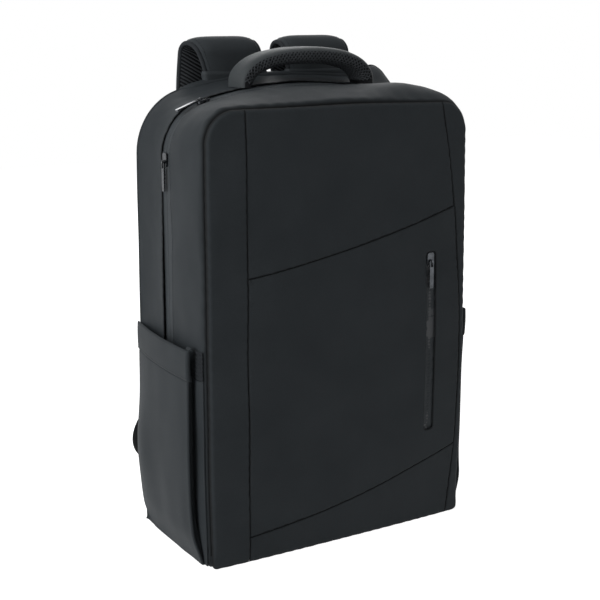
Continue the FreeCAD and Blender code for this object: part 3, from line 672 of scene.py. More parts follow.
def gusset(name, seam, zipSide, seed):
    # seam is where it is sewn to a panel; zipSide is +1 where the zip lies behind it, -1 in front of it
    g = gussets
    heights = shellAt(np.full((around, 1), zipY))[:, 0, 2]
    opened = smooth((heights - g["zipEnd"] + g["zipEndEase"] / 2) / g["zipEndEase"])
    zipEdge = zipY - zipSide * (opened * (zipBand / 2 - g["zipGap"]) + g["zipGap"])
    span = np.abs(zipEdge - seam)
    rows = edgeSpacing(span.max(), span.max() / g["columns"])[None] * (span / span.max())[:, None]
    p = shellAt(seam + zipSide * rows)
    fromSeam, fromZip = rows, span[:, None] - rows
    s = gridUvs(p).reshape(p.shape[0], p.shape[1], 2)[..., 0]
    fromFoot = np.minimum(s, s[-1:] - s)
    out = g["puff"] * np.sin(math.pi * rows / span[:, None]) ** g["puffPower"]
    # what the side pockets cover is pressed flatter
    bare = g["hiddenShare"] + (1 - g["hiddenShare"]) * ramp(heights, *g["hiddenBelow"])[:, None]
    out = out * smooth(fromFoot / g["footEase"]) * bare
    out = out - lip(fromSeam, *g["frontLip" if zipSide > 0 else "backLip"]) - lip(fromZip, *g["zipLip"])
    out -= lip(fromFoot, *g["footLip"])
    pitch, depth, reach = g["frontPucker" if zipSide > 0 else "backPucker"]
    atSeam = pucker(s, fromSeam, pitch, depth, reach, seed) * smooth(fromSeam / g["puckerEase"])
    out += atSeam + pucker(s + 5, fromZip, *g["zipPucker"], seed + 2)
    crease = noiseAt(p * np.array(g["creaseStretch"]), g["creaseSize"], seed + 4)
    fold = np.abs(noiseAt(p, g["foldSize"], seed + 6)) * g["foldShare"]
    out += g["creaseDepth"] * (crease - fold) * smooth(fromSeam / g["creaseEase"])
    p = settle(outwards(p, out))
    obj = gridSheet(name, p, g["wall"])
    # painted shade along the sewn seam and along the zip edge
    seamReach, zipReach = g["seamShade"]
    paintSeamShade(obj, np.maximum(np.exp(-(fromSeam / seamReach) ** 2), np.exp(-(fromZip / zipReach) ** 2)))
    return obj, p, rows, span


stitches = {"Pitch": 3.4, "Length": 2.6, "Width": 0.5, "Height": 0.35}


def seamStitches(name, p, offset, fromEdge, body):
    # a line of thread on a grid, a set distance in from its edge; fromEdge is a grid of distances
    column = np.abs(fromEdge - offset).argmin(axis=1)
    rows = np.arange(p.shape[0])
    n = gridNormals(p)
    run, up = p[rows, column], n[rows, column]
    alongPaths(name, stitchTree, [run + up * 0.05], [up], stitches, thread, body)


frontGusset, gussetGrid, fromSeam, gussetSpan = gusset("frontGusset", frontY + gussets["seamSetIn"], 1, 11)
finishPiece(frontGusset, coatedFabric, "coated_fabric", None, "front_gusset")
rearGusset, rearGrid, fromBack, rearSpan = gusset("rearGusset", panelFrontY + gussets["backSetIn"], -1, 31)
finishPiece(rearGusset, coatedFabric, "coated_fabric", "root", "rear_gusset")


def frontFoldBlend(obj):
    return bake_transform(obj)


frontFoldBlend(frontGusset)
print("gussets ready")

# The main zip: a tape on each half, closed over a hidden coil
mainZip = {"across": (0.12, 0.5, 1.0, 1.7, 2.6, 3.6, 4.6, 5.6, 6.6), "recess": 0.9, "tuck": 1.2,
           "slit": (0.7, 0.3), "rib": 0.12, "ribTurn": 4.2, "wall": 0.7, "shade": (0.3, 0.45), "endMargin": 2,
           "coil": {"Pitch": 1.25, "Length": 0.8, "Width": 2.6, "Height": 1.2, "Lift": -0.6},
           "coilDrop": 0.6, "coilOffset": 0.5, "stitchIn": 2.6}
heights = shellAt(np.full((around, 1), zipY))[:, 0, 2]
aboveEnd = np.where(heights > gussets["zipEnd"] - mainZip["endMargin"])[0]
across = np.array([*mainZip["across"], zipBand / 2 + mainZip["tuck"]])
for side, end, body in ((-1, "Front", "front_half"), (1, "Rear", "root")):
    y = zipY + (across if side > 0 else -across[::-1])[None] + np.zeros((around, 1))
    fromSlit = np.abs(y - zipY)
    down = mainZip["recess"] + lip(fromSlit, *mainZip["slit"])
    down = down - mainZip["rib"] * np.cos(fromSlit * mainZip["ribTurn"])
    p = settle(outwards(shellAt(y), -down))[aboveEnd]
    tape = gridSheet("mainZipTape" + end, p, mainZip["wall"])
    # painted shade along the closed zip's slit
    share, reach = mainZip["shade"]
    paintSeamShade(tape, share * np.exp(-(fromSlit[aboveEnd] / reach) ** 2))
    finishPiece(tape, zipTape, "zip_tape", body, f"main_zip_{end.lower()}_half")
    edge = 0 if side > 0 else -1
    ups = gridNormals(p)[:, edge]
    coilLine = p[:, edge] + ups * -mainZip["coilDrop"] + np.array([0, side * mainZip["coilOffset"], 0])
    alongPaths("mainZipCoil" + end, stitchTree, [coilLine], [ups], mainZip["coil"], coilPlastic, body, 4)
    grid, distance = (gussetGrid, gussetSpan[:, None] - fromSeam) if side < 0 else (
        rearGrid, rearSpan[:, None] - fromBack)
    seamStitches("zipStitch" + end, grid[aboveEnd], mainZip["stitchIn"], distance[aboveEnd], body)
print("main zip ready")


# Front panels: one crowned face, cut into sewn pieces

front = {
    "crown": 6.5, "crownPower": 2.6, "crownAtEnds": 0.3, "endPowers": (3.2, 7.0),
    "rollWidth": 3.8, "rollDepth": 4.2, "rollAtFoot": 0.4, "rollRise": (4, 26),
    "setIn": 2.6, "setBack": 1.0, "skirt": 0.6, "cornerShare": 0.6,
    "seamLip": (1.9, 1.5), "seamEase": (-0.5, 3), "slotLip": (1.2, 0.9), "slitLip": (0.8, 0.5),
    "pucker": (13, 0.5, 8), "creaseDepth": 1.1, "creaseSize": 64, "rippleDepth": 0.35, "rippleSize": 24,
    "creaseEase": 12, "seamShade": 0.95, "slotShade": 0.8, "nearSlit": 0.35, "slitShade": (0.4, 0.5),
    "wall": 1.5, "step": 3.6, "edgeStep": 2.0, "leftSeamX": boxOf("front_panel_middle")[0][0],
    "rightSeam": ((130, -10), (140, 221), (112, 453)),
    "upperSeam": ((-150, 278), (0, 300), (150, 338)), "lowerSeam": ((-150, 22), (0, 42), (150, 82)),
}


def throughThree(points, along=0):
    # the circle through three points, as one coordinate from the other
    (x1, y1), (x2, y2), (x3, y3) = points
    a = np.array([[x2 - x1, y2 - y1], [x3 - x1, y3 - y1]]) * 2
    b = np.array([x2 ** 2 - x1 ** 2 + y2 ** 2 - y1 ** 2, x3 ** 2 - x1 ** 2 + y3 ** 2 - y1 ** 2])
    cx, cy = np.linalg.solve(a, b)
    r = math.hypot(x1 - cx, y1 - cy)
    if along == 0:
        sign = 1 if y2 > cy else -1
        return lambda x: cy + sign * np.sqrt(r * r - (x - cx) ** 2)
    sign = 1 if x2 > cx else -1
    return lambda z: cx + sign * np.sqrt(r * r - (z - cy) ** 2)


seamLine = sections[0]
topPart = np.abs(seamLine[:, 0]) < halfWidth - 1e-6
frontHalf = halfWidth - front["setIn"]
topX = np.concatenate([[-halfWidth], seamLine[topPart, 0], [halfWidth]]) * frontHalf / halfWidth
topZ = np.concatenate([[seamLine[topPart, 1][0] - 1], seamLine[topPart, 1], [seamLine[topPart, 1][-1] - 1]])
topZ = topZ - front["setIn"]


def frontTop(x):
    return np.interp(x, topX, topZ)


def frontFoot(x):
    low = outline["bottomCorner"]
    past = np.clip(np.abs(x) - (frontHalf - low), 0, low)
    return front["skirt"] + (low - np.sqrt(low ** 2 - past ** 2)) * front["cornerShare"]


rightSeam = throughThree(front["rightSeam"], 1)
upperSeam = throughThree(front["upperSeam"])
lowerSeam = throughThree(front["lowerSeam"])


def leftSeam(z):
    return front["leftSeamX"] + 0 * z


def edgeLeft(z):
    return -frontHalf + 0 * z


def edgeRight(z):
    return frontHalf + 0 * z


def panelLoop(left, right, low, high):
    # left and right give x at a height, low and high give the height at x
    def corner(xf, zf, z):
        for _ in range(40):
            z = zf(xf(z))
        return float(xf(z)), float(zf(xf(z)))

    c = [corner(left, low, 0.0), corner(right, low, 0.0), corner(right, high, 400.0), corner(left, high, 400.0)]
    ease = 0.5 - 0.5 * np.cos(np.linspace(0, math.pi, 300))

    def across(a, b, zf):
        x = a[0] + (b[0] - a[0]) * ease
        z = zf(x)
        z[0], z[-1] = a[1], b[1]
        return np.stack([x, z], axis=1)

    def upright(a, b, xf):
        z = a[1] + (b[1] - a[1]) * ease
        return np.stack([xf(z) + 0 * z, z], axis=1)

    sides = [across(c[0], c[1], low), upright(c[1], c[2], right),
             across(c[2], c[3], high), upright(c[3], c[0], left)]
    return np.concatenate([resample(s, front["edgeStep"])[:-1] for s in sides])


outlineLoop = panelLoop(edgeLeft, edgeRight, frontFoot, frontTop)


def frontFace(x, z):
    # the crowned face, rolled in to its seam all round
    mid = outline["frontTop"] / 2
    upPower, downPower = front["endPowers"]
    across = 1 - np.abs(x / halfWidth) ** front["crownPower"]
    up = 1 - np.abs((z - mid) / mid) ** np.where(z > mid, upPower, downPower)
    least = front["crownAtEnds"]
    crown = front["crown"] * np.clip(across, 0, 1) * (least + (1 - least) * np.clip(up, 0, 1))
    edge, _ = nearest(np.stack([x, z], axis=1), outlineLoop)
    size = front["rollAtFoot"] + (1 - front["rollAtFoot"]) * ramp(z, *front["rollRise"])
    roll = front["rollDepth"] - size * lip(edge / size, front["rollWidth"], front["rollDepth"])
    return frontY + front["setBack"] - crown - roll, edge


def frontPanel(name, node, loop, seed, holes=(), step=None, material=None, slotName="coated_fabric",
               recess=0.0, seamLip=None, slitX=None):
    flat, faces = fillLoop(loop, step or front["step"], holes=holes)
    x, z = flat[:, 0], flat[:, 1]
    y, edge = frontFace(x, z)
    own, index = nearest(flat, loop)
    y = y + lip(own, *(seamLip or front["seamLip"])) * ramp(edge, *front["seamEase"]) + recess
    y += pucker(runOf(loop)[index], own, *front["pucker"], seed)
    toHoles = [nearest(flat, hole)[0] for hole in holes]
    for gap in toHoles:
        y += lip(gap, *front["slotLip"])
    if slitX is not None:
        y += lip(np.abs(x - slitX), *front["slitLip"])
    p = np.stack([x, y, z], axis=1)
    calm = smooth(edge / front["creaseEase"])
    y += front["creaseDepth"] * noiseAt(p, front["creaseSize"], seed) * calm
    y += front["rippleDepth"] * noiseAt(p * np.array([1, 1, 0.6]), front["rippleSize"], seed + 1) * calm
    p = settle(np.stack([x, y, z], axis=1))
    obj = flatSheet(name, p, faces, front["wall"], (0, -1, 0), flat)
    # painted shade along the panel's seams, round the pocket zip's slot and at its slit
    shade = np.exp(-(own / front["seamShade"]) ** 2)
    for gap in toHoles:
        shade = np.maximum(shade, np.exp(-(gap / front["slotShade"]) ** 2))
    if slitX is not None:
        most, reach = front["slitShade"]
        shade = np.maximum(front["nearSlit"] * shade, most * np.exp(-((x - slitX) / reach) ** 2))
    paintSeamShade(obj, shade)
    finishPiece(obj, material or coatedFabric, slotName, None, node)
    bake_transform(obj)


slotLow, slotHigh = boxOf("front_pocket_zip")
slot = {"low": slotLow[[0, 2]], "high": slotHigh[[0, 2]], "corner": 3.0, "step": 1.2, "overlap": 1.5,
        "bandStep": 1.6}


def roundedLoop(x0, x1, z0, z1, r, step):
    points = []
    for cx, cz, start in ((x1 - r, z0 + r, -90), (x1 - r, z1 - r, 0), (x0 + r, z1 - r, 90), (x0 + r, z0 + r, 180)):
        for a in np.radians(np.linspace(start, start + 90, 7)):
            points.append((cx + r * math.cos(a), cz + r * math.sin(a)))
    points.append(points[0])
    return resample(points, step)[:-1]


def slotLoop(margin, step):
    (x0, z0), (x1, z1) = slot["low"] - margin, slot["high"] + margin
    return roundedLoop(x0, x1, z0, z1, slot["corner"], step)


zipHole = slotLoop(0, slot["step"])
frontPanel("frontStripLeft", "front_strip_left", panelLoop(edgeLeft, leftSeam, frontFoot, frontTop), 41)
frontPanel("frontStripRight", "front_strip_right", panelLoop(rightSeam, edgeRight, frontFoot, frontTop), 43)
frontPanel("frontPanelLower", "front_panel_lower", panelLoop(leftSeam, rightSeam, frontFoot, lowerSeam), 47)
frontPanel("frontPanelMiddle", "front_panel_middle", panelLoop(leftSeam, rightSeam, lowerSeam, upperSeam), 53,
           holes=[zipHole])
frontPanel("frontPanelUpper", "front_panel_upper", panelLoop(leftSeam, rightSeam, upperSeam, frontTop), 59)
frontPanel("frontPocketZip", "front_pocket_zip", slotLoop(slot["overlap"], slot["bandStep"]), 61, step=2.0,
           material=pocketTape, slotName="zip_tape", recess=2.4, seamLip=(1.0, 0.3),
           slitX=(slotLow[0] + slotHigh[0]) / 2)
print("front panels ready")


# Bottom: a tray turned up behind the front panels and at both sides

tray = {"corner": 4.0, "frontTuck": 1.2, "wall": 2.0, "around": 280,
        "rise": ((0.0, trayTop - 0.9), (0.0, 11.0), (0.15, 6.5), (0.6, 3.4), (1.8, 1.5), (4.0, 0.7), (9.0, 0.45))}


def bottomTray():
    y0, y1 = frontY + tray["frontTuck"], panelFrontY + 0.5

    def ringAt(inset, z):
        r = max(tray["corner"] - inset * 0.4, 3.0)
        loop = roundedLoop(-halfWidth + inset + 0.6, halfWidth - inset - 0.6, y0 + inset, y1 - inset, r, 1.0)
        run = np.linspace(0, len(loop), tray["around"] + 1)[:-1]
        k = run.astype(int) % len(loop)
        share = (run % 1)[:, None]
        flat = loop[k] * (1 - share) + loop[(k + 1) % len(loop)] * share
        return np.column_stack([flat, np.full(len(flat), z)])

    outer = [ringAt(*pair) for pair in tray["rise"]]
    last = outer[-1]
    centre = last.mean(axis=0)
    for share in (0.9, 0.75, 0.55, 0.35, 0.15, 0.02):
        outer.append(centre + (last - centre) * share)
    inner = []
    for ring in outer[::-1]:
        towards = ring - centre
        towards[:, 2] = 0
        length = np.linalg.norm(towards, axis=1, keepdims=True)
        inner.append(ring - towards / np.maximum(length, 1e-6) * np.minimum(tray["wall"], length * 0.5)
                     + np.array([0, 0, tray["wall"] if ring[0, 2] < 3 else 0]))
    obj = tube("bottomPanel", np.stack(outer + inner), closedEnds=False)
    mesh = obj.data
    count = len(outer[0])
    rows = len(outer) + len(inner)
    extra = [((rows - 1) * count + j, (rows - 1) * count + (j + 1) % count, (j + 1) % count, j)
             for j in range(count)]
    verts = [v.co[:] for v in mesh.vertices]
    faces = [tuple(f.vertices) for f in mesh.polygons]
    uvs = np.array([(v[0] / mm, v[1] / mm) for v in verts])
    bpy.data.objects.remove(obj)
    made = newObject("bottomPanel", np.array(verts) / mm, faces + extra, uvs)
    finishPiece(made, trayFabric, "coated_fabric", "root", "bottom_panel")


bottomTray()


# Back panel and its pads

back = {"edgeRoll": (6.5, 5.5), "crown": 1.0, "wall": 3.0, "step": 5.0}
rearLine = sections[-1]


def insetLoop(line, inset, foot):
    # the outline at the back edge, drawn in by inset and closed along the bottom
    turned = np.array(line)
    x, z = turned[:, 0], turned[:, 1]
    side = headings(turned)
    turned = turned + np.stack([side[:, 1], -side[:, 0]], axis=1) * inset
    low = outline["bottomCorner"]
    arcs = np.radians(np.linspace(0, 90, 8))[1:]
    rightArc = [(turned[-1, 0] - low * (1 - math.cos(a)), turned[-1, 1] - (low - foot) * math.sin(a)) for a in arcs]
    leftArc = [(-p[0], p[1]) for p in rightArc[::-1]]
    loop = np.concatenate([turned, rightArc, leftArc, turned[:1]])
    return resample(loop, 3.0)[:-1]


def backPanel():
    loop = insetLoop(rearLine, 0.4, 0.8)
    flat, faces = fillLoop(loop, back["step"], rings=(0.5, 1.2, 2.2, 3.6, 5.4, 7.5))
    edge, _ = nearest(flat, loop)
    x, z = flat[:, 0], flat[:, 1]
    y = rearY - lip(edge, *back["edgeRoll"]) + back["crown"] * smooth(edge / 60) - 0.5
    p = np.stack([x, y, z], axis=1)
    y += 0.5 * noiseAt(p, 50, 71) * smooth(edge / 15)
    p = settle(np.stack([x, y, z], axis=1))
    obj = flatSheet("backPanel", p, faces, back["wall"], (0, 1, 0), flat)
    finishPiece(obj, coatedFabric, "coated_fabric", "root", "back_panel")


backPanel()

pads = {"edge": (9.0, 7.5), "crown": 1.0, "crownEase": 40, "setIn": 0.6, "wall": 2.0, "step": 2.6, "corner": 20.0,
        "channels": ((-0.35, 180), (-0.35, 262), (-0.35, 344)), "channelMiddle": 50, "channelHalf": 5.0,
        "channelDepth": 3.4, "channelEase": 8, "hexTurn": (1.05, 0.74), "hexShare": 0.6, "hexRise": 0.16,
        "hexEase": 5, "waveDepth": 0.5, "waveSize": 30, "stitchIn": 3, "stitchRise": 5.3}


def backPad(name, node, channels, seed):
    low, high = boxOf(node)
    loop = roundedLoop(low[0], high[0], low[2], high[2], pads["corner"], 2.0)
    flat, faces = fillLoop(loop, pads["step"])
    edge, _ = nearest(flat, loop)
    x, z = flat[:, 0], flat[:, 1]
    y = high[1] - pads["setIn"] - lip(edge, *pads["edge"]) + pads["crown"] * smooth(edge / pads["crownEase"])
    for slope, height in channels:
        away = np.abs(z - height - slope * (np.abs(x) - pads["channelMiddle"]))
        sunk = 1 - smooth(away / pads["channelHalf"])
        y -= pads["channelDepth"] * sunk * smooth(edge / pads["channelEase"])
    turn, slant = pads["hexTurn"]
    hexes = np.cos(x * turn) * np.cos(z * turn) + pads["hexShare"] * np.cos((x + z) * slant)
    y += pads["hexRise"] * hexes * smooth(edge / pads["hexEase"])
    p = np.stack([x, y, z], axis=1)
    y += pads["waveDepth"] * noiseAt(p, pads["waveSize"], seed)
    p = np.stack([x, y, z], axis=1)
    obj = flatSheet(name, p, faces, pads["wall"], (0, 1, 0), flat)
    finishPiece(obj, airMesh, "back_mesh", "root", node)
    away = pads["stitchIn"]
    line = roundedLoop(low[0] + away, high[0] - away, low[2] + away, high[2] - away, pads["corner"] - away, 2.0)
    line = np.concatenate([line, line[:1]])
    run = np.column_stack([line[:, 0], np.full(len(line), low[1] + pads["stitchRise"]), line[:, 1]])
    up = np.zeros_like(run)
    up[:, 1] = 1
    alongPaths(name + "Stitch", stitchTree, [run], [up], stitches, thread, "root", seed)


backPad("backPadLeft", "back_pad_left", pads["channels"], 73)
backPad("backPadRight", "back_pad_right", pads["channels"], 75)
backPad("lumbarPad", "lumbar_pad", (), 77)
print("back ready")


# Inside: linings, laptop sleeve, pouch and organiser

inside = {"depth": 3.4, "wall": 0.5}


def lining(name, node, y0, y1):
    y = np.linspace(y0, y1, 16)[None] + np.zeros((around, 1))
    p = settle(outwards(shellAt(y), np.full(y.shape, -inside["depth"])))
    obj = gridSheet(name, p[::2], inside["wall"])
    finishPiece(obj, liningCloth, "lining", None, node)
    return obj


frontFoldBlend(lining("frontLining", "front_lining", frontY + 4, zipY - 0.4))
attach(lining("rearLining", "rear_lining", zipY + 0.4, panelFrontY - 0.5), "root")


def liningFace(name, y, outward, body, seed):
    loop = insetLoop(sections[0 if body == "front_half" else -1], 5.0, 6.0)
    loop = resample(np.concatenate([loop, loop[:1]]), 8)[:-1]
    flat, faces = fillLoop(loop, 9.0, rings=(1.5, 4.0))
    depth = y + 0 * flat[:, 0]
    if body == "front_half":
        depth = frontFace(flat[:, 0], flat[:, 1])[0] + 3.2
    p = np.stack([flat[:, 0], depth, flat[:, 1]], axis=1)
    p[:, 1] += 0.5 * noiseAt(p, 40, seed)
    obj = flatSheet(name, settle(p), faces, inside["wall"], (0, outward, 0), flat)
    finishPiece(obj, liningCloth, "lining", body)


liningFace("frontLiningFace", 0, 1, "front_half", 81)
liningFace("backLiningFace", panelFrontY - 0.6, -1, "root", 83)


def frontSheet(name, node, depth, material, slotName, thickness, seed, step=5.0):
    low, high = boxOf(node)
    x, z = np.meshgrid(np.arange(low[0], high[0] + 0.1, (high[0] - low[0]) / round((high[0] - low[0]) / step)),
                       np.linspace(low[2], high[2], max(4, int((high[2] - low[2]) / step))), indexing="ij")
    shape = x.shape
    y = frontFace(x.ravel(), z.ravel())[0].reshape(shape) + depth
    p = np.stack([x, y, z], axis=-1)
    p[..., 1] += 0.4 * noiseAt(p, 35, seed)
    obj = gridSheet(name, settle(p)[::-1], thickness)
    finishPiece(obj, material, slotName, "front_half", node)


frontSheet("frontPocketPouch", "front_pocket_pouch", 4.4, liningCloth, "lining", 1.0, 85)
frontSheet("organiserPanel", "organiser_panel", 7.0, liningCloth, "lining", 1.2, 87)
frontSheet("organiserBinding", "organiser_binding", 7.2, bindingTape, "binding", 2.0, 89, 3.0)
cushion("laptopSleevePad", *boxOf("laptop_sleeve_pad"), liningCloth, "lining", "root", "laptop_sleeve_pad")
cushion("laptopSleeveBinding", *boxOf("laptop_sleeve_binding"), bindingTape, "binding", "root",
        "laptop_sleeve_binding", crown=0.6)


def sleeveGusset():
    low, high = boxOf("laptop_sleeve_gusset")
    line = []
    for x, z in ((low[0], high[2]), (low[0], low[2] + 8)):
        line.append((x + 1, z))
    for a in np.radians(np.linspace(180, 270, 8)[1:]):
        line.append((low[0] + 9 + 8 * math.cos(a), low[2] + 9 + 8 * math.sin(a)))
    line += [(-x, z) for x, z in line[::-1]]
    line = resample(np.array(line), 6)
    y = np.linspace(low[1] + 0.3, high[1] - 0.3, 6)
    p = np.stack([np.repeat(line[:, :1], 6, 1), np.repeat(y[None], len(line), 0), np.repeat(line[:, 1:], 6, 1)], -1)
    p[..., 0] += np.sign(p[..., 0]) * np.sin((y - low[1]) / (high[1] - low[1]) * math.pi) * -0.8
    obj = gridSheet("laptopSleeveGusset", p[::-1], 1.4)
    finishPiece(obj, liningCloth, "lining", "root", "laptop_sleeve_gusset")


sleeveGusset()
print("inside ready")


# Side pockets: an outer skin, a bellows fold behind its front edge, a turned hem and an elastic

pocketLow, pocketHigh = boxOf("left_side_pocket")
hemLow, hemHigh = boxOf("left_pocket_hem")
pocket = {
    "standOut": -halfWidth - pocketLow[0], "rear": pocketHigh[1] + 0.6, "front": -56.0, "bottom": 3.0,
    "hem": hemLow[2], "top": hemHigh[2], "wall": 1.2, "seamY": frontY + 3.4,
    "footLean": 6.5, "leanBelow": 70, "hemLean": 1.5, "hemLeanFrom": (150, 60),
    "rearStand": 1.3, "standPower": 2.3, "footShare": 0.25, "footRise": (-4, 42),
    "bellySwell": 2.2, "bellyFrom": (20, 60), "bellyTop": (230, 90),
    "rearSwell": 7.0, "rearSwellHeight": 88, "rearSwellReach": 48, "rearSwellPlace": (0.1, 0.22),
    "rearTuck": 26, "rearTuckBelow": 30, "hemTuck": (2.0, 1.0), "wrinkle": 0.6, "wrinkleSize": 26,
    "foldRadius": 1.5, "foldDepth": 10, "foldBelow": 50, "foldBack": 2.2, "foldInner": 1.0,
    "pleat": 1.6, "pleatPitch": 23, "pleatBelow": 40, "bow": 2.4, "bowFrom": (4, 20),
}


def pocketFront(z):
    # the front edge leans forward towards the bottom
    lean = pocket["footLean"] * smooth((pocket["leanBelow"] - z) / pocket["leanBelow"])
    return pocket["front"] - lean - pocket["hemLean"] * ramp(z, *pocket["hemLeanFrom"])


def pocketStand(y, z):
    s = np.clip((pocket["rear"] - y) / (pocket["rear"] - pocketFront(z)), 0, 1)
    stand = pocket["rearStand"] + (pocket["standOut"] - pocket["rearStand"]) * (1 - (1 - s) ** pocket["standPower"])
    top, reach = pocket["bellyTop"]
    belly = pocket["bellySwell"] * np.sin(math.pi * s) * ramp(z, *pocket["bellyFrom"]) * smooth((top - z) / reach)
    swell = np.exp(-((z - pocket["rearSwellHeight"]) / pocket["rearSwellReach"]) ** 2)
    place, width = pocket["rearSwellPlace"]
    stand = stand + belly + pocket["rearSwell"] * swell * np.exp(-((s - place) / width) ** 2)
    return stand * (pocket["footShare"] + (1 - pocket["footShare"]) * ramp(z, *pocket["footRise"]))


def onSide(p, mirror):
    # the left side's grid, or its mirror image, settled and turned to face out
    return settle(p * np.array([-1, 1, 1])) if mirror else settle(p)[::-1]


def pocketBlend(obj):
    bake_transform(obj)


def sidePoint(y, z, stand):
    return np.stack([-halfWidth - stand, y, z], axis=-1)


def cornerFall(p):
    # the bag's bottom corner draws in what is sewn to it
    low = outline["bottomCorner"]
    past = np.clip(low - p[..., 2], 0, low)
    return low - np.sqrt(low ** 2 - past ** 2)


def sidePocket(side):
    mirror = side == "right"
    z = edgeSpacing(pocket["hem"] - pocket["bottom"], 4.0) + pocket["bottom"]
    share = edgeSpacing(1000, 26) / 1000
    zz, tt = np.meshgrid(z, share, indexing="ij")
    front = pocketFront(zz)
    rear = pocket["rear"] - pocket["rearTuck"] * (1 - smooth(zz / pocket["rearTuckBelow"])) ** 2
    y = rear + (front - rear) * tt
    skin = sidePoint(y, zz, pocketStand(y, zz) - lip((pocket["hem"] - zz), *pocket["hemTuck"]))
    wrinkle = noiseAt(skin * np.array([1, 1, 0.5]), pocket["wrinkleSize"], 91 + mirror)
    skin[..., 0] += pocket["wrinkle"] * wrinkle * smooth((1 - tt) * 8)
    # round the fold, back along its inside and forward again to the front seam
    edgeX, edgeY = skin[:, -1, 0], skin[:, -1, 1]
    folds = []
    turn = pocket["foldRadius"]
    for a in np.radians(np.linspace(0, 180, 9)[1:]):
        folds.append((edgeX + turn * (1 - np.cos(a)), edgeY - turn * np.sin(a)))
    depth = pocket["foldDepth"] * smooth(z / pocket["foldBelow"])
    innerX = edgeX + 2 * turn
    backX = np.minimum(innerX + 1.0, -halfWidth - pocket["foldBack"])
    for s in np.linspace(0.2, 1, 5):
        folds.append((innerX + (backX - innerX) * s, edgeY + depth * s))
    turnX = -halfWidth - pocket["foldInner"]
    for a in np.radians(np.linspace(30, 180, 6)):
        folds.append(((backX + turnX) / 2 - (turnX - backX) / 2 * np.cos(a), edgeY + depth + np.sin(a)))
    startY = folds[-1][1]
    bow = pocket["bow"] + pocket["pleat"] * np.sin(z / pocket["pleatPitch"]) * smooth(z / pocket["pleatBelow"])
    for s in np.linspace(0.08, 1, 14):
        away = bow * math.sin(math.pi * min(1, s * 1.1)) * ramp(z, *pocket["bowFrom"])
        folds.append((np.minimum(turnX, turnX - away * s), startY + (pocket["seamY"] - startY) * s))
    folds = [np.stack([foldX, foldY, z], -1) for foldX, foldY in folds]
    p = np.concatenate([skin, np.stack(folds, axis=1)], axis=1)
    p[..., 0] += cornerFall(p)
    obj = gridSheet(side + "SidePocket", onSide(p, mirror), pocket["wall"], 60)
    finishPiece(obj, coatedFabric, "coated_fabric", None, side + "_side_pocket")
    pocketBlend(obj)


hem = {"stand": 0.9, "lip": (2.2, 1.3), "topLip": (2.2, 1.6), "swell": 0.5, "lean": 0.9, "leanFrom": (15, 15),
       "wrinkle": 0.7, "wrinkleSize": 30, "foldRadius": 2.6, "foldDepth": 7, "wall": 1.8, "stitchRise": 2.6}


def pocketHem(side):
    mirror = side == "right"
    height = pocket["top"] - pocket["hem"]
    rise = edgeSpacing(height, 3.2, (0, 0.4, 0.9, 1.6, 2.6))
    share = edgeSpacing(1000, 24) / 1000
    dz, tt = np.meshgrid(rise, share, indexing="ij")
    zz = pocket["hem"] + dz
    y = pocket["rear"] + (pocketFront(zz) - pocket["rear"]) * tt
    stand = pocketStand(y, zz) + hem["stand"] - lip(dz, *hem["lip"]) - lip(height - dz, *hem["topLip"])
    stand += hem["swell"] * np.sin(math.pi * dz / height) + hem["lean"] * ramp(dz, *hem["leanFrom"]) * np.sin(
        math.pi * tt)
    skin = sidePoint(y, zz, stand)
    skin[..., 0] += hem["wrinkle"] * noiseAt(skin, hem["wrinkleSize"], 95 + mirror) * np.sin(math.pi * tt)
    edgeX, edgeY, z = skin[:, -1, 0], skin[:, -1, 1], zz[:, 0]
    turn = hem["foldRadius"]
    folds = [(edgeX + turn * (1 - np.cos(a)), edgeY - turn * np.sin(a))
             for a in np.radians(np.linspace(0, 180, 11)[1:])]
    folds += [(edgeX + 2 * turn, edgeY + hem["foldDepth"] * s) for s in np.linspace(0.3, 1, 3)]
    folds = [np.stack([foldX, foldY, z], -1) for foldX, foldY in folds]
    p = onSide(np.concatenate([skin, np.stack(folds, axis=1)], axis=1), mirror)
    obj = gridSheet(side + "PocketHem", p, hem["wall"], 60)
    finishPiece(obj, coatedFabric, "coated_fabric", "root", side + "_pocket_hem")
    row = np.abs(rise - hem["stitchRise"]).argmin()
    row = row if mirror else len(rise) - 1 - row
    ups = gridNormals(p)[row, :len(share)]
    alongPaths(side + "HemStitchLow", stitchTree, [p[row, :len(share)] + ups * 0.05], [ups], stitches, thread,
               "root", 7)


def pocketElastic(side):
    z = np.linspace(pocket["hem"] + 0.5, pocket["top"] - 1.0, 30)
    y = np.linspace(pocket["front"] + 5, pocket["seamY"] - 0.5, 26)
    zz, yy = np.meshgrid(z, y, indexing="ij")
    s = (yy - y[0]) / (y[-1] - y[0])
    x = -halfWidth - 1.4 - 1.5 * np.sin(math.pi * s) - 0.35 * np.cos(zz * 1.55) - 0.25 * np.sin(yy * 1.9)
    obj = gridSheet(side + "PocketElastic", onSide(np.stack([x, yy, zz], -1), side == "right"), 1.0)
    finishPiece(obj, elasticTape, "elastic", None, side + "_pocket_elastic")
    pocketBlend(obj)


for side in ("left", "right"):
    sidePocket(side)
    pocketHem(side)
    pocketElastic(side)
print("side pockets ready")


# Carry handle

coverLow, coverHigh = boxOf("handle_cover")
handle = {"x": (coverLow[0] + coverHigh[0]) / 2, "y": (coverLow[1] + coverHigh[1]) / 2,
          "width": coverHigh[1] - coverLow[1] + 3, "thickness": 16.0, "top": coverHigh[2], "span": 144.0,
          "rootHeight": 452.0, "power": 2.4, "split": 0.3, "ribPitch": 4.2, "ribRadius": 0.7}


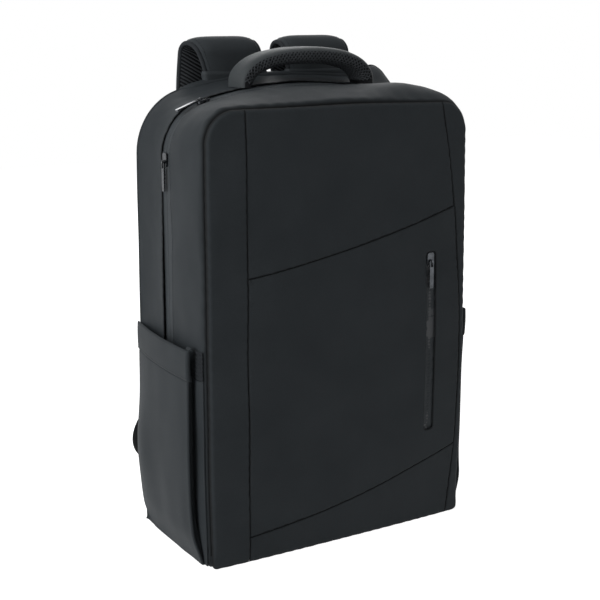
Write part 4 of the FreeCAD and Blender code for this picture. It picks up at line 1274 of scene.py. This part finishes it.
def archOver(span, low, top, power, steps):
    # steep at both roots and level on top, as points with their outward directions
    a = np.linspace(-math.pi / 2, math.pi / 2, 400)
    x = np.sign(a) * np.abs(np.sin(a)) ** (2 / power) * span / 2
    z = low + np.abs(np.cos(a)) ** (2 / power) * (top - low)
    line = resample(np.stack([x, z], 1), span * 1.25 / steps)
    along = headings(line)
    run = runOf(line)
    return line, np.stack([-along[:, 1], along[:, 0]], 1), run - run[-1] / 2


def handleFrame(steps=110):
    line, out, run = archOver(handle["span"], handle["rootHeight"], handle["top"] - handle["thickness"] / 2,
                              handle["power"], steps)
    s = np.linspace(-1, 1, len(line))
    pinch = 1 - 0.15 * smooth((np.abs(s) - 0.88) / 0.12)
    return line, out, run, pinch, s


def handlePoint(line, out, pinch, across, lift):
    # across runs over the width, lift over the thickness, both as shares from -1 to 1
    half = handle["thickness"] / 2 * pinch
    x = handle["x"] + line[:, 0] + out[:, 0] * lift * half
    z = line[:, 1] + out[:, 1] * lift * half
    y = handle["y"] + across * handle["width"] / 2 + 0 * x
    return np.stack([x, y, z], -1)


def roundedSection(a, power):
    c, s = np.cos(a), np.sin(a)
    return np.sign(c) * np.abs(c) ** (2 / power), np.sign(s) * np.abs(s) ** (2 / power)


def handlePart(name, node, upper, material, slotName):
    line, out, run, pinch, s = handleFrame()
    low = handle["split"]
    if upper:
        a = np.linspace(low, math.pi - low, 34)
    else:
        a = np.linspace(math.pi - low, 2 * math.pi + low, 34)
    c, h = roundedSection(a, 3.2)
    rings = []
    for ca, ha in zip(c, h):
        rings.append(handlePoint(line, out, pinch, ca, ha))
    chordY = np.linspace(c[-1], c[0], 10)[1:-1]
    chordH = h[0] + (-0.06 if upper else -0.02)
    for ca in chordY:
        rings.append(handlePoint(line, out, pinch, ca * 0.985, chordH))
    p = np.stack(rings, axis=1)
    p = p + (0.35 * noiseAt(p, 16, 101 + upper))[..., None] * np.array([0, 0, 1.0])
    obj = tube(name, p, sharp=55)
    finishPiece(obj, material, slotName, None, node)
    handleBlend(obj)


def handleBlend(obj):
    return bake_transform(obj)


handlePart("handleCover", "handle_cover", True, handleFabric, "coated_fabric")
handlePart("handleMesh", "handle_mesh", False, innerMesh, "strap_mesh")


def handleRibs():
    # slanting threads both ways over the padded underside
    line, out, run, pinch, s = handleFrame(240)
    low = handle["split"] - 0.03
    a = np.linspace(math.pi - low, 2 * math.pi + low, 60)
    c, h = roundedSection(a, 3.2)
    ringY = c * handle["width"] / 2
    ringZ = h * handle["thickness"] / 2
    girth = np.concatenate([[0], np.cumsum(np.hypot(np.diff(ringY), np.diff(ringZ)))])
    lines, ups = [], []
    for slant in (0.9, -0.9):
        for start in np.arange(run[0] - girth[-1], run[-1] + girth[-1], handle["ribPitch"]):
            g = np.linspace(0, girth[-1], 46)
            along = start + slant * g
            keep = (along > run[0] + 4) & (along < run[-1] - 4)
            if keep.sum() < 4:
                continue
            g, along = g[keep], along[keep]
            k = np.interp(along, run, np.arange(len(run)))
            lx, lz, ox, oz, pn = (np.interp(k, np.arange(len(run)), v) for v in (*line.T, *out.T, pinch))
            ca, ha = np.interp(g, girth, c), np.interp(g, girth, h)
            weave = 0.35 * np.sin(g * 2.1 + (0 if slant > 0 else math.pi) + start)
            pts = handlePoint(np.stack([lx, lz], 1), np.stack([ox, oz], 1), pn, ca, ha)
            up = np.stack([ox * ha, ca, oz * ha], -1)
            up /= np.linalg.norm(up, axis=1, keepdims=True)
            lines.append(pts + up * weave[:, None])
            ups.append(up)
    obj = alongPaths("handleMeshRibs", ribTree, lines, ups, {"Radius": handle["ribRadius"]}, ribMesh,
                     None)
    handleBlend(obj)


handleRibs()


def topAt(x, y):
    # the height of the rear gusset's top under points
    heights, depths = [], []
    for column in range(rearGrid.shape[1]):
        ring = rearGrid[:, column]
        ring = ring[ring[:, 2] > 400]
        ring = ring[np.argsort(ring[:, 0])]
        heights.append(np.interp(x, ring[:, 0], ring[:, 2]))
        depths.append(np.interp(x, ring[:, 0], ring[:, 1]))
    heights, depths = np.array(heights[::-1]), np.array(depths[::-1])
    return np.array([np.interp(y[k], depths[:, k], heights[:, k]) for k in range(len(x))])


patch = {"margin": 1.0, "front": 13.0, "rear": 38.0, "lift": 1.3, "thickness": 1.5}


def handlePatch(side, node, seed):
    low, high = boxOf(node)
    x = np.linspace(low[0] - patch["margin"], high[0] + patch["margin"], 24)
    y = np.linspace(patch["front"], patch["rear"], 22)
    xx, yy = np.meshgrid(x, y, indexing="ij")
    zz = topAt(xx.ravel(), yy.ravel()).reshape(xx.shape)
    edge = np.minimum(np.minimum(xx - x[0], x[-1] - xx), np.minimum(yy - y[0], y[-1] - yy))
    p = np.stack([xx, yy, zz + patch["lift"] - lip(edge, 2.0, 1.0)], -1)
    p[..., 2] += 0.15 * noiseAt(p, 14, seed)
    obj = gridSheet(side + "HandlePatch", p, patch["thickness"])
    finishPiece(obj, handleFabric, "coated_fabric", "root", node)
    n = gridNormals(p)
    inner = p[3:-3, 3:-3]
    up = n[3:-3, 3:-3]
    run = np.concatenate([inner[0], inner[:, -1], inner[-1, ::-1], inner[::-1, 0]])
    ups = np.concatenate([up[0], up[:, -1], up[-1, ::-1], up[::-1, 0]])
    alongPaths(side + "HandlePatchStitch", stitchTree, [run], [ups], stitches, thread, "root", seed)


handlePatch("left", "handle_patch_left", 111)
handlePatch("right", "handle_patch_right", 113)
# the yoke's front edge is sewn down in a shallow V at each side
for side, corners in (("left", ((-92, 58), (-74, 44), (-58, 39))), ("right", ((96, 58), (90, 46), (82, 40)))):
    seam = resample(np.array(corners, float), 2.0)
    height = topAt(seam[:, 0], seam[:, 1])
    alongPaths(side + "YokeSeam", ribTree, [np.column_stack([seam, height + 0.2])],
               [np.tile([0.0, 0.0, 1.0], (len(seam), 1))], {"Radius": 0.6}, thread, "root")
print("handle ready")


# Shoulder straps

strapLow, strapHigh = boxOf("left_strap_cover")
strap = {"frontY": strapLow[1], "rearY": strapHigh[1], "top": strapHigh[2], "end": strapLow[2],
         "thickness": 10.0, "root": 462.6, "sleeveFoot": 446.0, "sleeveTop": 466.0,
         "droop": 1.6, "droopFrom": (12, 20), "droopTo": (86, 30), "edge": 2.3, "ribPitch": 3.6, "ribRadius": 0.85,
         "ribSlant": 0.55, "ribReach": 38, "bindRadius": 2.5}


def strapPath():
    # up from the yoke, over the fold and down the back, as (y, z), with the outward direction
    half = strap["thickness"] / 2
    r = (strap["rearY"] - strap["frontY"]) / 2 - half
    cy, cz = (strap["frontY"] + strap["rearY"]) / 2, strap["top"] - half - r
    frontLeg = [(cy - r, z) for z in np.linspace(strap["root"], cz, 16)[:-1]]
    over = [(cy - r * math.cos(a), cz + r * math.sin(a)) for a in np.linspace(0, math.pi, 26)]
    rearLeg = [(cy + r, z) for z in np.linspace(cz, strap["end"], 100)[1:]]
    line = resample(np.array(frontLeg + over + rearLeg), 1.9)
    along = headings(line)
    out = np.stack([-along[:, 1], along[:, 0]], axis=1)
    run = runOf(line)
    return line, out, run


# where each strap's two edges run, in mm from the middle, from its root over the fold to its end
strapRun = (-12, 8, 24, 40, 52, 66, 110, 210, 300, 366)
strapOuter = {"left": (72, 75, 82, 90, 92, 93, 95, 107, 118, 121),
              "right": (97, 97, 96, 93, 91, 92, 95, 107, 118, 121)}
strapInner = {"left": (6, 8, 12, 14, 14, 15, 21, 37, 58, 73), "right": (24, 22, 18, 15, 14, 15, 21, 37, 58, 73)}


def strapEdges(line, run, side):
    # x of the outer and inner edge along the strap, as on the left
    outer, inner = [-v for v in strapOuter[side]], [-v for v in strapInner[side]]
    at, bend = strapRun, np.linspace(run[0], run[-1], 60)

    def softened(values):
        coarse = np.interp(bend, at, values)
        for _ in range(3):
            coarse[1:-1] = (coarse[:-2] + coarse[1:-1] * 2 + coarse[2:]) / 4
        return np.interp(run, bend, coarse)

    return softened(outer), softened(inner)


def droopAt(share, run):
    # the strap's edges hang a little from its fold
    end, reach = strap["droopTo"]
    return strap["droop"] * abs(share) ** 5 * ramp(run, *strap["droopFrom"]) * smooth((end - run) / reach)


def strapRings(w, offsets, mirror):
    line, out, run = strapPath()
    outer, inner = strapEdges(line, run, "right" if mirror else "left")
    rings = []
    for share, offset in zip(w, offsets):
        x = (outer + inner) / 2 + (outer - inner) / 2 * share
        offset = offset - droopAt(share, run)
        rings.append(np.stack([x * (-1 if mirror else 1), line[:, 0] + out[:, 0] * offset,
                               line[:, 1] + out[:, 1] * offset], -1))
    return np.stack(rings, axis=1), run


def strapPiece(side, seed):
    mirror = side == "right"
    body = side + "_strap"
    w = np.sin(np.linspace(-math.pi / 2, math.pi / 2, 34))
    full = strap["thickness"] / 2 - strap["edge"]
    outerOffset = strap["edge"] * 0.5 + (full + strap["edge"] * 0.5) * (1 - np.abs(w) ** 5) ** 0.8
    chord = np.linspace(1, -1, 10)[1:-1]
    for label, sign, material, slotName in (("Cover", 1, strapFabric, "coated_fabric"),
                                            ("Mesh", -1, innerMesh, "strap_mesh")):
        ring, run = strapRings(np.concatenate([w, chord]),
                               np.concatenate([sign * outerOffset, chord * 0 + 0.1 * sign]), mirror)
        ring = ring + 0.35 * (noiseAt(ring, 22, seed)[..., None]) * np.array([0.3, 1, 0.3])
        obj = tube(side + "Strap" + label, ring, sharp=60)
        finishPiece(obj, material, slotName, body, side + "_strap_" + label.lower())
    edges, ups = [], []
    for share in (-0.985, 0.985):
        ring, run = strapRings([share], [0.0], mirror)
        edges.append(ring[:, 0])
        up = np.zeros((len(run), 3))
        up[:, 0] = share
        ups.append(up)
    alongPaths(side + "StrapBinding", ribTree, edges, ups, {"Radius": strap["bindRadius"]}, bindingTape,
               body)
    lines, upRuns = [], []
    for share in (-0.86, 0.86):
        at = np.interp(share, w, outerOffset)
        ring, run = strapRings([share], [at + 0.1], mirror)
        line, out, _ = strapPath()
        lines.append(ring[:, 0])
        upRuns.append(np.stack([0 * run, out[:, 0], out[:, 1]], -1))
    alongPaths(side + "StrapStitch", stitchTree, lines, upRuns, stitches, thread, body, seed)
    ribLines, ribUps = [], []
    line, out, run = strapPath()
    outerEdge, innerEdge = strapEdges(line, run, side)
    wide = np.linspace(-0.96, 0.96, 40)
    for start in np.arange(-45, run[-1] + 45, strap["ribPitch"]):
        along = start + wide * strap["ribReach"] * strap["ribSlant"] * (1 if mirror else -1)
        keep = (along > 1) & (along < run[-1] - 1)
        if keep.sum() < 4:
            continue
        share, along = wide[keep], along[keep]
        ly, lz, oy, oz, a, b = (np.interp(along, run, v) for v in (*line.T, *out.T, outerEdge, innerEdge))
        x = (a + b) / 2 + (a - b) / 2 * share
        off = -np.interp(share, w, outerOffset)
        off = off - droopAt(share, along)
        ribLines.append(np.stack([x * (-1 if mirror else 1), ly + oy * off, lz + oz * off], -1))
        ribUps.append(np.stack([0 * oy, -oy, -oz], -1))
    alongPaths(side + "StrapMeshRibs", ribTree, ribLines, ribUps, {"Radius": strap["ribRadius"]}, ribMesh,
               body)
    # the sewn foot between the yoke and the strap
    z = np.linspace(strap["sleeveFoot"], strap["sleeveTop"], 16)
    centre = strap["frontY"] + strap["thickness"] / 2
    rings = []
    for height in z:
        c, h = roundedSection(np.radians(np.arange(0, 360, 8)), 7.0)
        share = height - strap["root"]
        outer = np.interp(share, strapRun, strapOuter[side])
        inner = np.interp(share, strapRun, strapInner[side])
        grow = 0.9 - 1.2 * smooth((height - strap["sleeveTop"] + 2.5) / 2.5)
        x = (outer + inner) / 2 + c * ((outer - inner) / 2 + strap["edge"] + grow)
        y = centre + h * (strap["thickness"] / 2 + grow)
        rings.append(np.stack([x * (1 if mirror else -1), y, np.full(len(x), height)], -1))
    obj = tube(side + "StrapFoot", np.stack(rings), sharp=60)
    finishPiece(obj, strapFabric, "coated_fabric", None)
    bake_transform(obj)


def flatStrip(name, line, acrossDir, width, thickness):
    # a flat woven strap along a line, with soft selvedges and fine ribs
    line = resample(np.asarray(line, float), 1.6)
    along = headings(line)
    across = np.asarray(acrossDir, float)
    across = across - along * (along @ across)[:, None]
    across /= np.linalg.norm(across, axis=1, keepdims=True)
    out = np.cross(across, along)
    w = np.sin(np.linspace(-math.pi / 2, math.pi / 2, 15))
    run = runOf(line)
    rib = 0.12 * np.cos(run * 2.4)
    rings = []
    for sign, shares in ((1, w), (-1, w[::-1][1:-1])):
        for share in shares:
            high = sign * (thickness / 2) * (1 - abs(share) ** 6) ** 0.5
            rings.append(line + across * share * width / 2 + out * (high + sign * rib)[:, None])
    obj = tube(name, np.stack(rings, axis=1), sharp=70)
    obj.data.materials.append(webbingTape)
    return obj


def strapHardware(side):
    s = 1 if side == "right" else -1
    wingLow, wingHigh = boxOf(side + "_webbing_wing")
    lockLow, lockHigh = boxOf(side + "_ladder_lock")
    low, high = boxOf(side + "_strap_loop")
    cx, cy = (low[0] + high[0]) / 2, (low[1] + high[1]) / 2
    # the sewn loop round the lock's top bar
    barZ = lockHigh[2] - 2.0
    loop = [(cx, cy - 2.2, high[2] + 10), (cx, cy - 2.6, high[2] - 1)]
    for a in np.radians(np.linspace(180, 360, 12)):
        loop.append((cx, cy + 2.9 * math.cos(a), barZ + 2.9 * math.sin(a)))
    loop += [(cx, cy + 2.6, high[2] - 1), (cx, cy + 2.2, high[2] + 10)]
    obj = flatStrip(side + "StrapLoop", loop, (1, 0, 0), high[0] - low[0], 1.2)
    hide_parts(side + "_strap_loop")
    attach(obj, side + "_strap")
    # webbing from the wing up to the lock, through it and hanging down to its folded end
    lockX = (lockLow[0] + lockHigh[0]) / 2
    lockY = (lockLow[1] + lockHigh[1]) / 2
    start = np.array([s * (halfWidth - 6), rearY + 3.8, (wingLow[2] + wingHigh[2]) / 2])
    join = np.array([lockX + s * 3, lockY + 0.4, lockLow[2] - 5])
    bow = (start + join) / 2 + np.array([s * 30, 15, -22])
    t = np.linspace(0, 1, 30)[:, None]
    lower = (1 - t) ** 2 * start + 2 * t * (1 - t) * bow + t ** 2 * join
    obj = flatStrip(side + "Webbing", lower, (1, 0, 0.4 * -s), 24, 1.6)
    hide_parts(side + "_webbing")
    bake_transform(obj)
    upper = [tuple(join), (lockX + s * 1.5, lockY - 1.6, lockLow[2] + 1), (lockX, lockY - 3.4, lockLow[2] + 6),
             (lockX, lockY - 3.2, lockLow[2] + 11), (lockX, lockY - 0.5, lockLow[2] + 14.6),
             (lockX, lockY + 3.0, lockLow[2] + 11), (lockX, lockY + 3.8, lockLow[2] + 5),
             (lockX, lockY + 4.2, lockLow[2] - 6), (lockX - s, lockY + 4.2, lockLow[2] - 34),
             (lockX - s * 2, lockY + 3.2, lockLow[2] - 58)]
    upper = np.array(upper)
    k = np.linspace(0, len(upper) - 1, 90)
    curve = np.stack([np.interp(k, np.arange(len(upper)), upper[:, c]) for c in range(3)], 1)
    for _ in range(6):
        curve[1:-1] = (curve[:-2] + 2 * curve[1:-1] + curve[2:]) / 4
    obj = flatStrip(side + "WebbingEnd", curve, (1, 0, 0), 24, 1.5)
    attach(obj, side + "_lock")
    # the triangular wing that carries it into the side seam
    rows, cols = 22, 14
    u, v = np.meshgrid(np.linspace(0, 1, rows), np.linspace(-1, 1, cols), indexing="ij")
    half = 30 + (13 - 30) * u
    x = s * (halfWidth - 1.5 - 32 * u)
    z = (wingLow[2] + wingHigh[2]) / 2 + v * half
    edge = np.minimum((1 - np.abs(v)) * half, (1 - u) * 30)
    y = rearY + 2.6 - lip(edge, 2.4, 1.4) + 0.6 * np.sin(u * 3) * (1 - v ** 2)
    p = np.stack([x, y, z], -1)
    p = settle(p)
    p = p if s < 0 else p[::-1]
    n = gridNormals(p)
    if n[..., 1].mean() < 0:
        p = p[:, ::-1]
    obj = gridSheet(side + "WebbingWing", p, 1.6)
    finishPiece(obj, coatedFabric, "webbing", "root", side + "_webbing_wing")


for side in ("left", "right"):
    strapPiece(side, 121)
    strapHardware(side)
print("straps ready")


yoke = {"overhang": 6, "steps": 90, "setIn": 3, "endEase": 14, "rise": 1.0, "crown": 1.5, "power": 3.0,
        "sink": 5, "lift": 0.6, "y": 66.2, "halfDepth": 8.0, "endShares": (0.55, 0.45), "wave": 0.4, "waveSize": 20}


def strapYoke():
    # a padded strip that both straps are sewn into along the top of the back panel
    low, high = boxOf("strap_yoke")
    rows = np.linspace(low[0] - yoke["overhang"], high[0] + yoke["overhang"], yoke["steps"])
    ring = np.radians(np.linspace(0, 360, 25)[:-1])
    line = sectionAt(rearY - yoke["setIn"])
    top = line[len(line) // 4: -len(line) // 4]
    order = np.argsort(top[:, 0])
    height = np.interp(rows, top[order, 0], top[order, 1])
    ends = smooth((rows - rows[0]) / yoke["endEase"]) * smooth((rows[-1] - rows) / yoke["endEase"])
    crest = height + yoke["rise"] + yoke["crown"] * ends
    half = (crest - height) / 2 + yoke["sink"]
    mid = (crest + height) / 2 - yoke["sink"] + yoke["lift"]
    least, more = yoke["endShares"]
    c, s = roundedSection(ring, yoke["power"])
    rings = []
    for ca, sa in zip(c, s):
        y = yoke["y"] + ca * yoke["halfDepth"] * (least + more * ends)
        rings.append(np.stack([rows, y, mid + sa * half], -1))
    p = np.stack(rings, axis=1)
    p = p + yoke["wave"] * noiseAt(p, yoke["waveSize"], 131)[..., None] * np.array([0, 0.6, 1])
    obj = tube("strapYoke", settle(p), sharp=60)
    finishPiece(obj, coatedFabric, "coated_fabric", "root", "strap_yoke")


strapYoke()

metalNodes = [node + end for node in ("lower_slider", "upper_slider", "front_pocket_slider") for end in ("", "_pull")]
for nodes, material in ((metalNodes, zipMetal), (("left_ladder_lock", "right_ladder_lock"), bucklePlastic)):
    for node in nodes:
        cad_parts[node].data.materials.clear()
        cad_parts[node].data.materials.append(material)
print("hardware ready")


# Stage: a pale floor, soft studio light, and a camera from the front left

stage = {"target": (0, 0, 234.9), "azimuth": -31.67, "elevation": 13.05, "distance": 1305.8, "lens": 76.16,
         "shift": -2.89 / 600, "floorSize": 6000, "floorTone": 0.82, "floorGlow": 0.88, "ambient": 0.12}
# each lamp's azimuth, elevation, distance, size and power
lamps = {"keyLeft": (-80, 24, 2.4, (1.4, 2.2), 46), "fillFront": (-10, 42, 2.8, (1.8, 1.8), 4),
         "topSoft": (-30, 75, 2.2, (1.6, 1.6), 4), "backRight": (155, 30, 2.6, (1.6, 1.8), 20)}


def direction(azimuth, elevation):
    a, e = math.radians(azimuth), math.radians(elevation)
    return Vector((math.sin(a) * math.cos(e), -math.cos(a) * math.cos(e), math.sin(e)))


def addCamera():
    camera = bpy.data.cameras.new("camera")
    camera.lens = stage["lens"]
    camera.shift_x = stage["shift"]
    camera.clip_end = 50
    obj = bpy.data.objects.new("camera", camera)
    bpy.context.scene.collection.objects.link(obj)
    back = direction(stage["azimuth"], stage["elevation"])
    obj.location = Vector(stage["target"]) * mm + back * stage["distance"] * mm
    obj.rotation_euler = back.to_track_quat("Z", "Y").to_euler()
    bpy.context.scene.camera = obj


def addLamp(name, azimuth, elevation, distance, size, power):
    lamp = bpy.data.lights.new(name, "AREA")
    lamp.shape = "RECTANGLE"
    lamp.size, lamp.size_y = size
    lamp.energy = power
    obj = bpy.data.objects.new(name, lamp)
    bpy.context.scene.collection.objects.link(obj)
    towards = direction(azimuth, elevation)
    obj.location = Vector(stage["target"]) * mm + towards * distance
    obj.rotation_euler = towards.to_track_quat("Z", "Y").to_euler()


def whiteForCamera(tree):
    # 1 for rays from the camera, in mirrors and through glass, 0 for light that falls on the object
    path = addNode(tree, "ShaderNodeLightPath").outputs
    seen = path["Is Camera Ray"]
    for ray in ("Is Transmission Ray", "Is Glossy Ray"):
        seen = addNode(tree, "ShaderNodeMath", {0: seen, 1: path[ray]}, operation="MAXIMUM").outputs[0]
    return seen


def addFloor():
    size = stage["floorSize"] / 2
    floor = newObject("floor", [(-size, -size, 0), (size, -size, 0), (size, size, 0), (-size, size, 0)],
                      [(0, 1, 2, 3)])
    material = bpy.data.materials.new("floor")
    material.use_nodes = True
    tree = material.node_tree
    glow = addNode(tree, "ShaderNodeMath", {0: whiteForCamera(tree), 1: stage["floorGlow"]}, operation="MULTIPLY")
    setInputs(tree, tree.nodes["Principled BSDF"], {
        "Base Color": (stage["floorTone"],) * 3 + (1,), "Roughness": 0.9, "Specular IOR Level": 0.0,
        "Emission Color": (1, 1, 1, 1), "Emission Strength": glow.outputs[0]})
    floor.data.materials.append(material)


def addWorld():
    world = bpy.data.worlds.new("studio")
    world.use_nodes = True
    tree = world.node_tree
    strength = addNode(tree, "ShaderNodeMapRange", {"To Min": stage["ambient"], "To Max": 1.0,
                                                    "Value": whiteForCamera(tree)})
    setInputs(tree, tree.nodes["Background"], {"Color": (1, 1, 1, 1), "Strength": strength.outputs["Result"]})
    bpy.context.scene.world = world


bpy.context.scene.view_settings.view_transform = "Standard"
addCamera()
addFloor()
addWorld()
for name, settings in lamps.items():
    addLamp(name, *settings)
print("stage ready")
